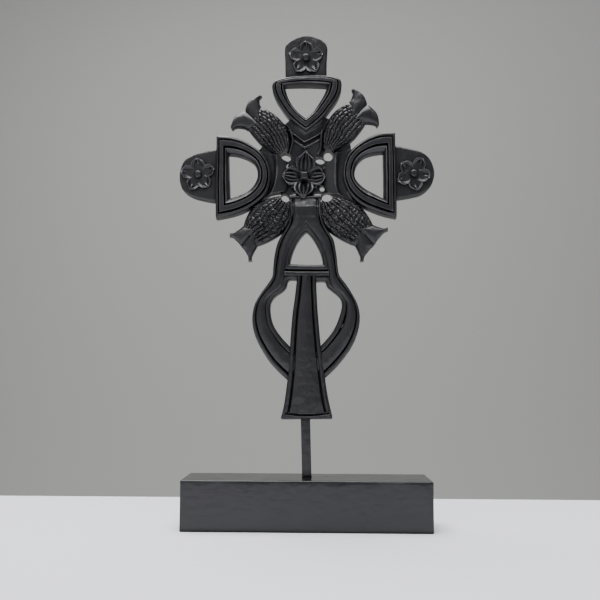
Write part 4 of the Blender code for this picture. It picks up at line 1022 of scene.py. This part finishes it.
def petal(name, facts, centre=(0.0, 0.0), turn=0.0, back=5.0):
    """A cupped petal: it climbs from its root to its rim, is hollow across, and is fluted."""
    direction = np.array([math.cos(turn), math.sin(turn)])
    side = np.array([-direction[1], direction[0]])
    outline = smooth(facts["outline"], 8)
    along = np.linspace(0.0, 1.0, PETAL_ROWS + 1)
    widths = np.interp(along, outline[:, 0], outline[:, 1]) * facts["width"] / 2
    across = np.linspace(-1.0, 1.0, PETAL_COLUMNS + 1)
    rows = []
    for share, width in zip(along, widths):
        climb = math.sin(math.pi / 2 * min(1.0, share / 0.86)) ** 1.4
        curl = 1.3 * max(0.0, (share - 0.90) / 0.10) ** 2
        spine = facts["root"] + (facts["rim"] - facts["root"]) * climb - curl
        deepening = math.sin(math.pi * min(0.96, 0.1 + 0.84 * share))
        hollow = facts["cup"] * (1 - np.abs(across) ** 2.2) * deepening
        ridges = np.abs(np.cos(across * math.pi * facts["flutes"] / 2))
        flute = facts["flute"] * (1 - ridges) * min(1.0, 1.6 * share) * (1 - across ** 6)
        lip = 0.9 * np.maximum(0.0, (np.abs(across) - 0.88) / 0.12) ** 2
        height = spine - hollow - flute - lip
        ragged = 1.0 + RAGGEDNESS * np.sin(across * 9.0 + facts.get("phase", 0.0)) * share
        spots = np.array(centre) + direction * (share * facts["reach"] * ragged)[:, None]
        spots = spots + side * (across * width)[:, None]
        x = np.concatenate([spots[:, 0], spots[[-1, 0], 0]])
        z = np.concatenate([spots[:, 1], spots[[-1, 0], 1]])
        rows.append(in_wood(x, z, np.concatenate([height, [back, back]])))
    return loft(name, np.array(rows))


# %% Petals in a ring
def ring_tree():
    made = Tree("petals_in_a_ring")
    count = made.size("Petals", "NodeSocketInt", 5)
    petal_object = made.size("Petal", "NodeSocketObject")
    start = made.size("Start Turn", "NodeSocketFloat", 0.0)
    centre = made.size("Centre", "NodeSocketVector")
    waver = made.size("Turn Unevenness", "NodeSocketFloat", 0.08)
    spread = made.size("Length Unevenness", "NodeSocketFloat", 0.06)
    seed = made.size("Seed", "NodeSocketInt", 1)
    finish = made.size("Finish", "NodeSocketMaterial")

    def chance(reach, offset):
        low = made.sum("MULTIPLY", reach, -1.0)
        draw = made.node("FunctionNodeRandomValue", data_type="FLOAT")
        named = {socket.name: socket for socket in draw.inputs if socket.enabled}
        made.feed(named["Min"], low)
        made.feed(named["Max"], reach)
        made.feed(named["Seed"], made.sum("ADD", seed, offset))
        return next(socket for socket in draw.outputs if socket.enabled)

    spots = made.node("GeometryNodePoints")
    made.feed(spots.inputs["Count"], count)
    made.feed(spots.inputs["Position"], centre)
    index = made.node("GeometryNodeInputIndex").outputs[0]
    step = made.sum("DIVIDE", 2 * math.pi, count)
    turn = made.sum("ADD", made.sum("MULTIPLY", index, step), made.sum("ADD", start, chance(waver, 0.0)))
    about_y = made.node("ShaderNodeCombineXYZ")
    made.feed(about_y.inputs["Y"], made.sum("MULTIPLY", turn, -1.0))
    stretch = made.node("ShaderNodeCombineXYZ")
    made.feed(stretch.inputs["X"], made.sum("ADD", 1.0, chance(spread, 7.0)))
    made.feed(stretch.inputs["Y"], 1.0)
    made.feed(stretch.inputs["Z"], made.sum("ADD", 1.0, chance(spread, 13.0)))
    source = made.node("GeometryNodeObjectInfo")
    made.feed(source.inputs["Object"], petal_object)
    placed = made.node("GeometryNodeInstanceOnPoints")
    made.feed(placed.inputs["Points"], spots.outputs[0])
    made.feed(placed.inputs["Instance"], source.outputs["Geometry"])
    made.feed(placed.inputs["Rotation"], about_y.outputs[0])
    made.feed(placed.inputs["Scale"], stretch.outputs[0])
    made.end(placed.outputs[0], finish)
    return made


TAB_FLOWERS = {
    "top": {"centre": (-2.1, 430.0), "start": 86.0, "seed": 3},
    "left": {"centre": (-101.6, 318.4), "start": 94.0, "seed": 8},
    "right": {"centre": (97.4, 319.3), "start": 60.0, "seed": 5},
}
PETALS = 5


def equal_parts(item, count):
    """The item's equal bodies, one object each, in the order the tree set them."""
    points = np.array([vertex.co[:] for vertex in item.data.vertices]).reshape(count, -1, 3)
    size = points.shape[1]
    faces = [tuple(face.vertices) for face in item.data.polygons]
    parts = []
    for number in range(count):
        low = number * size
        own = [tuple(v - low for v in face) for face in faces if low <= face[0] < low + size]
        parts.append(new_item(f"{item.name}_{number}", points[number], own))
    bpy.data.objects.remove(item, do_unlink=True)
    return parts


petal_ring = ring_tree()
one_petal = petal("one_petal", TAB_PETAL)
for point in one_petal.data.vertices:
    point.co.z -= CARVING_FOOT - DRAWN_FOOT * MILLIMETRE
tab_petals = []
for name, flower in TAB_FLOWERS.items():
    x, z = flower["centre"]
    spot = in_wood(x, z, 0.0)
    holder = new_item(f"{name}_petals", [], [])
    ring = grown(holder, petal_ring, {
        "Petals": PETALS, "Petal": one_petal, "Start Turn": math.radians(flower["start"]),
        "Centre": (float(spot[0]), 0.0, float(spot[2])), "Turn Unevenness": 0.08,
        "Length Unevenness": 0.06, "Seed": flower["seed"], "Finish": black_stain,
    })
    tab_petals.append(equal_parts(ring, PETALS))
bpy.data.objects.remove(one_petal, do_unlink=True)
print("petals on the tabs:", sum(len(parts) for parts in tab_petals))

# %% [markdown]
# ## The big flower
#
# The middle flower is larger, and its four petals differ: the top one is pointed and fluted, those
# at the sides are round and folded, and the bottom one is scalloped. Four narrow leaves show
# between them, and a square peg stands in its middle.

# %% Big flower, leaves and buttons
HUB_CENTRE = (-3.4, 316.4)
HUB_PETALS = [
    {"turn": 85.0, "reach": 23.0, "width": 18.0, "root": 9.4, "rim": 14.4, "cup": 2.2, "flutes": 5,
     "flute": 1.4, "outline": POINTED_PETAL, "phase": 0.0},
    {"turn": 177.0, "reach": 19.4, "width": 17.4, "root": 9.4, "rim": 14.0, "cup": 3.0, "flutes": 5,
     "flute": 2.0, "outline": ROUND_PETAL, "phase": 1.1},
    {"turn": 267.0, "reach": 20.0, "width": 17.6, "root": 9.4, "rim": 15.2, "cup": 2.6, "flutes": 5,
     "flute": 1.5, "outline": FAN_PETAL, "phase": 2.0},
    {"turn": 2.0, "reach": 18.6, "width": 17.4, "root": 9.4, "rim": 14.0, "cup": 3.0, "flutes": 5,
     "flute": 2.0, "outline": ROUND_PETAL, "phase": 3.1},
]
HUB_LEAVES = [(43.0, 15.6), (137.0, 16.4), (221.0, 15.4), (317.5, 15.4)]
LEAF = {
    "width": 9.0, "root": 8.0, "rim": 10.8, "cup": 1.0, "flutes": 1, "flute": 0.5, "outline": LEAF_OUTLINE,
}
TAB_BUTTON = {"radius": 3.5, "low": 12.2, "high": 14.4, "sides": 20}
HUB_BUTTON = {"radius": 5.3, "low": 14.6, "high": 17.2, "sides": 4}


def button(name, centre, facts):
    """A boss with a rounded top."""
    around = (np.arange(facts["sides"]) + 0.5) * 2 * math.pi / facts["sides"]
    low, high = facts["low"], facts["high"]
    rings = [(1.0, 5.4), (1.0, low), (0.95, low + 0.45 * (high - low)), (0.82, low + 0.78 * (high - low)),
             (0.6, low + 0.94 * (high - low)), (0.25, high)]
    rows = [
        in_wood(
            centre[0] + facts["radius"] * share * np.cos(around),
            centre[1] + facts["radius"] * share * np.sin(around),
            np.full(facts["sides"], height),
        ) for share, height in rings
    ]
    return loft(name, np.array(rows))


hub_petals = [
    petal(f"hub_petal_{number}", facts, HUB_CENTRE, math.radians(facts["turn"]))
    for number, facts in enumerate(HUB_PETALS)
]
hub_leaves = [
    petal(f"hub_leaf_{number}", {**LEAF, "reach": reach}, HUB_CENTRE, math.radians(turn))
    for number, (turn, reach) in enumerate(HUB_LEAVES)
]
buttons = [button("tab_button", flower["centre"], TAB_BUTTON) for flower in TAB_FLOWERS.values()]
buttons.append(button("hub_button", HUB_CENTRE, HUB_BUTTON))
print("petals and leaves in the middle:", len(hub_petals + hub_leaves))

# %% [markdown]
# ## One piece of wood
#
# All these forms are one plank, so they are joined into one closed surface. The Boolean modifier's
# manifold solver does it fast and leaves no inner walls. It needs each operand to be free of
# overlaps within itself, so forms that don't touch are put together first, and one modifier
# joins a whole group of them.


# %% Joining
def together(name, items):
    """One object that holds the meshes of items that don't touch each other."""
    points, faces, start = [], [], 0
    for item in items:
        points += [vertex.co[:] for vertex in item.data.vertices]
        faces += [tuple(v + start for v in face.vertices) for face in item.data.polygons]
        start += len(item.data.vertices)
        bpy.data.objects.remove(item, do_unlink=True)
    return new_item(name, points, faces)


def worked(item, operation, groups):
    """The item joined with the groups, or with them cut out of it, as a plain mesh."""
    for group in groups:
        modifier = item.modifiers.new(group.name, "BOOLEAN")
        modifier.operation = operation
        modifier.object = group
        modifier.solver = "MANIFOLD"
    depsgraph = bpy.context.evaluated_depsgraph_get()
    result = bpy.data.meshes.new_from_object(item.evaluated_get(depsgraph), depsgraph=depsgraph)
    item.modifiers.clear()
    item.data = result
    for group in groups:
        bpy.data.objects.remove(group, do_unlink=True)
    return item


cross = blade
worked(cross, "UNION", [
    together("frames", [top_frame, left_frame, right_frame]),
    together("tabs_and_left_strand", [top_tab, left_tab, right_tab, left_keel, left_strand]),
    together("right_strand_and_keel", [right_keel, right_strand, left_hollow]),
    together("fish", fish_bodies),
    together("left_tails", left_lobes),
    together("right_tails", right_lobes),
    together("rim_and_hollow", [leg_rim, right_hollow, left_collar]),
    together("left_rim_and_shelf", [right_collar, left_ring_rim, neck_shelf, left_plane]),
    together("bar_and_hub", [crossbar, hub]),
    together("right_rim_and_panel", [right_ring_rim, neck_panel, left_facet, right_plane]),
    together("right_facet_and_webs", [right_facet, left_web, right_web]),
    together("neck_edges", [left_neck_edge, right_neck_edge]),
])
worked(cross, "DIFFERENCE", piercings)
petal_groups = [
    together(f"petals_{number}", [parts[number] for parts in tab_petals] + hub_petals[number:number + 1])
    for number in range(PETALS)
]
worked(cross, "UNION", petal_groups + hub_leaves + [together("buttons", buttons)])
print("faces in the joined carving:", len(cross.data.polygons))

# %% [markdown]
# ## The hand in it
#
# A machine would leave every line dead straight. A hand does not, so the whole carving is moved
# by a slow, slight wave: a fraction of a millimetre, over a length of a centimetre or so. One wave
# for the whole piece keeps forms that touch in step.

# %% Waver
WAVER_LENGTH = 0.016
WAVER_SIDEWAYS = 0.00022
WAVER_DEPTH = 0.00020


def waver(item, sideways, depth, length, start=0.0):
    """Moves each point by smooth noise: so much across and up, and so much in depth."""
    for vertex in item.data.vertices:
        place = vertex.co / length + Vector((start, start * 2, start * 3))
        drift = noise.noise_vector(place)
        vertex.co += Vector((drift.x * sideways, drift.y * depth, drift.z * sideways))


waver(cross, WAVER_SIDEWAYS, WAVER_DEPTH, WAVER_LENGTH)

# %% [markdown]
# ## Post and block
#
# The post is a thin square stick and the block a plain sawn and sanded bar. Both have soft arrises
# and faces that aren't quite flat. A box that is cut across many times and then rounded at its
# edges gives the points for that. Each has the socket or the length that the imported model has.

# %% Rounded box
POST_SIDE = 0.0084
POST_SHOWING = 0.0515
POST_LEAN = math.radians(1.6)
POST_IN_BASE = 0.024
POST_IN_BLADE = 0.030
SOCKET_GAP = 0.0003
BASE_SIZE = (0.217, 0.057, 0.0435)


def rounded_box(name, size, radius, pitch):
    """A box round the origin with rounded edges, and points at about the pitch over its faces."""
    shape = bmesh.new()
    bmesh.ops.create_cube(shape, size=1.0)
    bmesh.ops.scale(shape, vec=size, verts=shape.verts)
    for axis, length in enumerate(size):
        direction = Vector((0.0, 0.0, 0.0))
        direction[axis] = 1.0
        inner = np.linspace(-length / 2 + radius, length / 2 - radius, max(3, int(length / pitch)))
        outer = [side * (length / 2 - radius * share) for side in (-1, 1) for share in (0.30, 0.65)]
        for place in list(inner) + outer:
            everything = list(shape.verts) + list(shape.edges) + list(shape.faces)
            spot = direction * float(place)
            bmesh.ops.bisect_plane(shape, geom=everything, plane_co=spot, plane_no=direction)
    half = Vector(size) / 2
    for vertex in shape.verts:
        core = Vector(max(-(h - radius), min(h - radius, c)) for c, h in zip(vertex.co, half))
        out = vertex.co - core
        if out.length > 0:
            vertex.co = core + out.normalized() * radius
    bmesh.ops.recalc_face_normals(shape, faces=shape.faces)
    mesh = bpy.data.meshes.new(name)
    shape.to_mesh(mesh)
    shape.free()
    item = bpy.data.objects.new(name, mesh)
    bpy.context.scene.collection.objects.link(item)
    return item


def set_on_post(item, length, low):
    """Puts an upright mesh on the post's leaning line; low is its lower end above the block."""
    middle = low + length / 2
    place = Vector((-math.sin(POST_LEAN) * middle, 0.0, BASE_SIZE[2] + math.cos(POST_LEAN) * middle))
    item.data.transform(Matrix.Translation(place) @ Matrix.Rotation(-POST_LEAN, 4, "Y"))
    return item


def socket(low, high):
    side = POST_SIDE + 2 * SOCKET_GAP
    length = high - low
    return set_on_post(rounded_box("socket", (side, side, length), 0.0001, length), length, low)


# %% Post, block and their sockets
post_length = POST_IN_BASE + POST_SHOWING + POST_IN_BLADE
post = rounded_box("square_post", (POST_SIDE, POST_SIDE, post_length), 0.0006, 0.003)
waver(post, 0.00010, 0.00010, 0.012, 4.0)
set_on_post(post, post_length, -POST_IN_BASE)

block = rounded_box("block_base", BASE_SIZE, 0.0011, 0.004)
waver(block, 0.00016, 0.00016, 0.03, 9.0)
block.data.transform(Matrix.Translation((0.0, 0.0, BASE_SIZE[2] / 2)))
worked(block, "DIFFERENCE", [socket(-POST_IN_BASE - SOCKET_GAP, POST_SHOWING / 2)])
worked(cross, "DIFFERENCE", [socket(POST_SHOWING / 2, POST_SHOWING + POST_IN_BLADE + SOCKET_GAP)])
print("points in the block:", len(block.data.vertices), "and in the post:", len(post.data.vertices))

# %% [markdown]
# ## Black stained wood
#
# The stain is almost black, with a trace of blue where light skims it. Under it there is wood, so
# the colour and the gloss drift along the grain, which runs up the plank. Arrises and beads are
# painted lighter: partly the stain rubbed thin by handling, partly a painted highlight. Grooves are
# painted darker and duller: partly the stain lying thick, partly painted shade. How little wood lies
# just under a point shows an arris, and how little open air lies over it shows a groove. Fine pores
# and broad gouge marks go into the bump.


# %% Stain
class Finish:
    """A material that is written one node after another."""

    def __init__(self, material):
        material.use_nodes = True
        self.tree = material.node_tree
        self.shader = self.tree.nodes["Principled BSDF"]
        self.columns = 0

    def node(self, kind, settings=None, **feeds):
        made = self.tree.nodes.new(kind)
        made.location = (-1800 + self.columns * NODE_STEP, 300)
        self.columns += 1
        for key, value in (settings or {}).items():
            setattr(made, key, value)
        for name, value in feeds.items():
            self.feed(made.inputs[name.replace("_", " ")], value)
        return made

    def feed(self, target, value):
        if isinstance(value, bpy.types.NodeSocket):
            self.tree.links.new(value, target)
        else:
            target.default_value = value

    def ramp(self, value, *stops):
        """Colours or greys at places between 0 and 1."""
        made = self.node("ShaderNodeValToRGB", Fac=value)
        band = made.color_ramp
        while len(band.elements) < len(stops):
            band.elements.new(0.5)
        for element, (place, colour) in zip(band.elements, stops):
            element.position = place
            element.color = colour if isinstance(colour, tuple) else (colour, colour, colour, 1.0)
        return made.outputs["Color"]

    def mix(self, share, first, second):
        made = self.node("ShaderNodeMix", {"data_type": "RGBA"})
        for index, value in ((0, share), (6, first), (7, second)):
            self.feed(made.inputs[index], value)
        return made.outputs[2]

    def noise(self, place, size, detail, roughness=0.55):
        made = self.node("ShaderNodeTexNoise", Vector=place, Scale=size, Detail=detail, Roughness=roughness)
        return made.outputs["Fac"]


def stain(material, grain_axis, colours, rub_and_highlight_colour, rub_and_highlight_place, gloss, gouge_depth):
    """Black stain over wood whose grain runs along an axis of the object."""
    made = Finish(material)
    place = made.node("ShaderNodeTexCoord").outputs["Object"]
    stretch = [1.0, 1.0, 1.0]
    stretch[grain_axis] = 0.07
    grain_place = made.node("ShaderNodeMapping", Vector=place, Scale=tuple(stretch)).outputs["Vector"]
    grain = made.noise(grain_place, 900.0, 5.0)
    cloud = made.noise(place, 60.0, 3.0)
    gouge = made.noise(place, 170.0, 1.5, 0.4)
    base = made.mix(cloud, colours[0], colours[1])
    base = made.mix(made.ramp(grain, (0.35, 0.0), (0.75, 0.6)), base, colours[2])
    # Arrises and beads are painted lighter: partly the stain rubbed thin, partly a painted highlight on the
    # sharp edges.
    wood_under = made.node("ShaderNodeAmbientOcclusion", {"samples": 8, "inside": True}, Distance=RUB_AND_HIGHLIGHT_REACH)
    worn_and_highlit = made.ramp(wood_under.outputs["AO"], (rub_and_highlight_place[0], 1.0), (rub_and_highlight_place[1], 0.0))
    patchy_wear_and_highlight = made.node("ShaderNodeMath", {"operation": "MULTIPLY"})
    made.feed(patchy_wear_and_highlight.inputs[0], worn_and_highlit)
    made.feed(patchy_wear_and_highlight.inputs[1], made.ramp(cloud, (0.34, 0.30), (0.60, 1.0)))
    # Grooves and hollows are painted darker and duller: partly the stain lying thick, partly painted shade
    # where little open air lies over the wood.
    open_air = made.node("ShaderNodeAmbientOcclusion", {"samples": 6}, Distance=RECESS_REACH).outputs["AO"]
    clear_of_shade_and_stain = made.ramp(open_air, (0.40, 0.0), (0.88, 1.0))
    base = made.mix(clear_of_shade_and_stain, RECESS_SHADE_AND_STAIN_COLOUR, base)
    made.feed(made.shader.inputs["Base Color"], made.mix(patchy_wear_and_highlight.outputs[0], base, rub_and_highlight_colour))
    rough = made.ramp(cloud, (0.25, gloss[0]), (0.75, gloss[1]))
    rough = made.mix(made.ramp(grain, (0.3, 0.0), (0.8, 0.5)), rough, (gloss[2], gloss[2], gloss[2], 1.0))
    made.feed(made.shader.inputs["Roughness"], rough)
    made.feed(made.shader.inputs["Specular IOR Level"], made.ramp(open_air, (0.35, 0.06), (0.85, 0.5)))
    low = made.node("ShaderNodeBump", Strength=0.45, Distance=gouge_depth, Height=gouge)
    fine = made.node("ShaderNodeBump", Strength=0.25, Distance=0.0002, Height=grain, Normal=low.outputs[0])
    made.feed(made.shader.inputs["Normal"], fine.outputs[0])
    made.shader.inputs["Metallic"].default_value = 0.0
    made.shader.inputs["IOR"].default_value = 1.5
    return material


UP, ALONG = 2, 0
RECESS_REACH = 0.005
# How far the look for the lighter arrises reaches: rubbed stain and painted highlight.
RUB_AND_HIGHLIGHT_REACH = 0.0011
# Painted shade in grooves, together with the stain lying thick there.
RECESS_SHADE_AND_STAIN_COLOUR = (0.0030, 0.0029, 0.0033, 1.0)
# Arguments in order: grain axis, three wood colours, the lighter arris colour (rubbed stain and painted
# highlight), where that mask starts and ends, gloss and gouge depth.
stain(
    black_stain, UP,
    ((0.0090, 0.0088, 0.0104, 1.0), (0.0190, 0.0182, 0.0205, 1.0), (0.0060, 0.0058, 0.0066, 1.0)),
    (0.100, 0.097, 0.104, 1.0), (0.56, 0.86), (0.24, 0.38, 0.46), 0.0014,
)
plain_stain = stain(
    bpy.data.materials.new("plain_black_wood"), ALONG,
    ((0.0085, 0.0085, 0.0100, 1.0), (0.0125, 0.0124, 0.0144, 1.0), (0.0065, 0.0064, 0.0075, 1.0)),
    (0.085, 0.083, 0.088, 1.0), (0.56, 0.84), (0.18, 0.25, 0.30), 0.0005,
)
print("finishes:", black_stain.name, "and", plain_stain.name)

# %% [markdown]
# ## Putting the pieces in place of the plain solids
#
# Each fine piece now takes the place of the imported model's solid. It rides on the one body there
# is, because nothing moves, and takes the finish made above. A point that the slight
# wave has taken past the imported model's outer box, by a tenth of a millimetre, is set back on it.

# %% Pieces
SMOOTH_UNDER = math.radians(36.0)


def hold_in(item, box):
    """Sets each point that lies outside a box back on its side."""
    low, high = box
    for vertex in item.data.vertices:
        vertex.co = [min(max(value, a), b) for value, a, b in zip(vertex.co, low, high)]


cross.name = "cross_carving"
for item, node, slot_name, finish in (
    (cross, "carved_cross", "carved_wood", black_stain),
    (post, "post", "plain_wood", plain_stain),
    (block, "base", "plain_wood", plain_stain),
):
    hold_in(item, cad_box)
    item.data.materials.clear()
    item.data.materials.append(finish)
    item.data.shade_smooth()
    item.data.set_sharp_from_angle(angle=SMOOTH_UNDER)
    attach(item, "root")
    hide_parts(node)
    print(item.name, "has", sum(len(face.vertices) - 2 for face in item.data.polygons), "triangles")
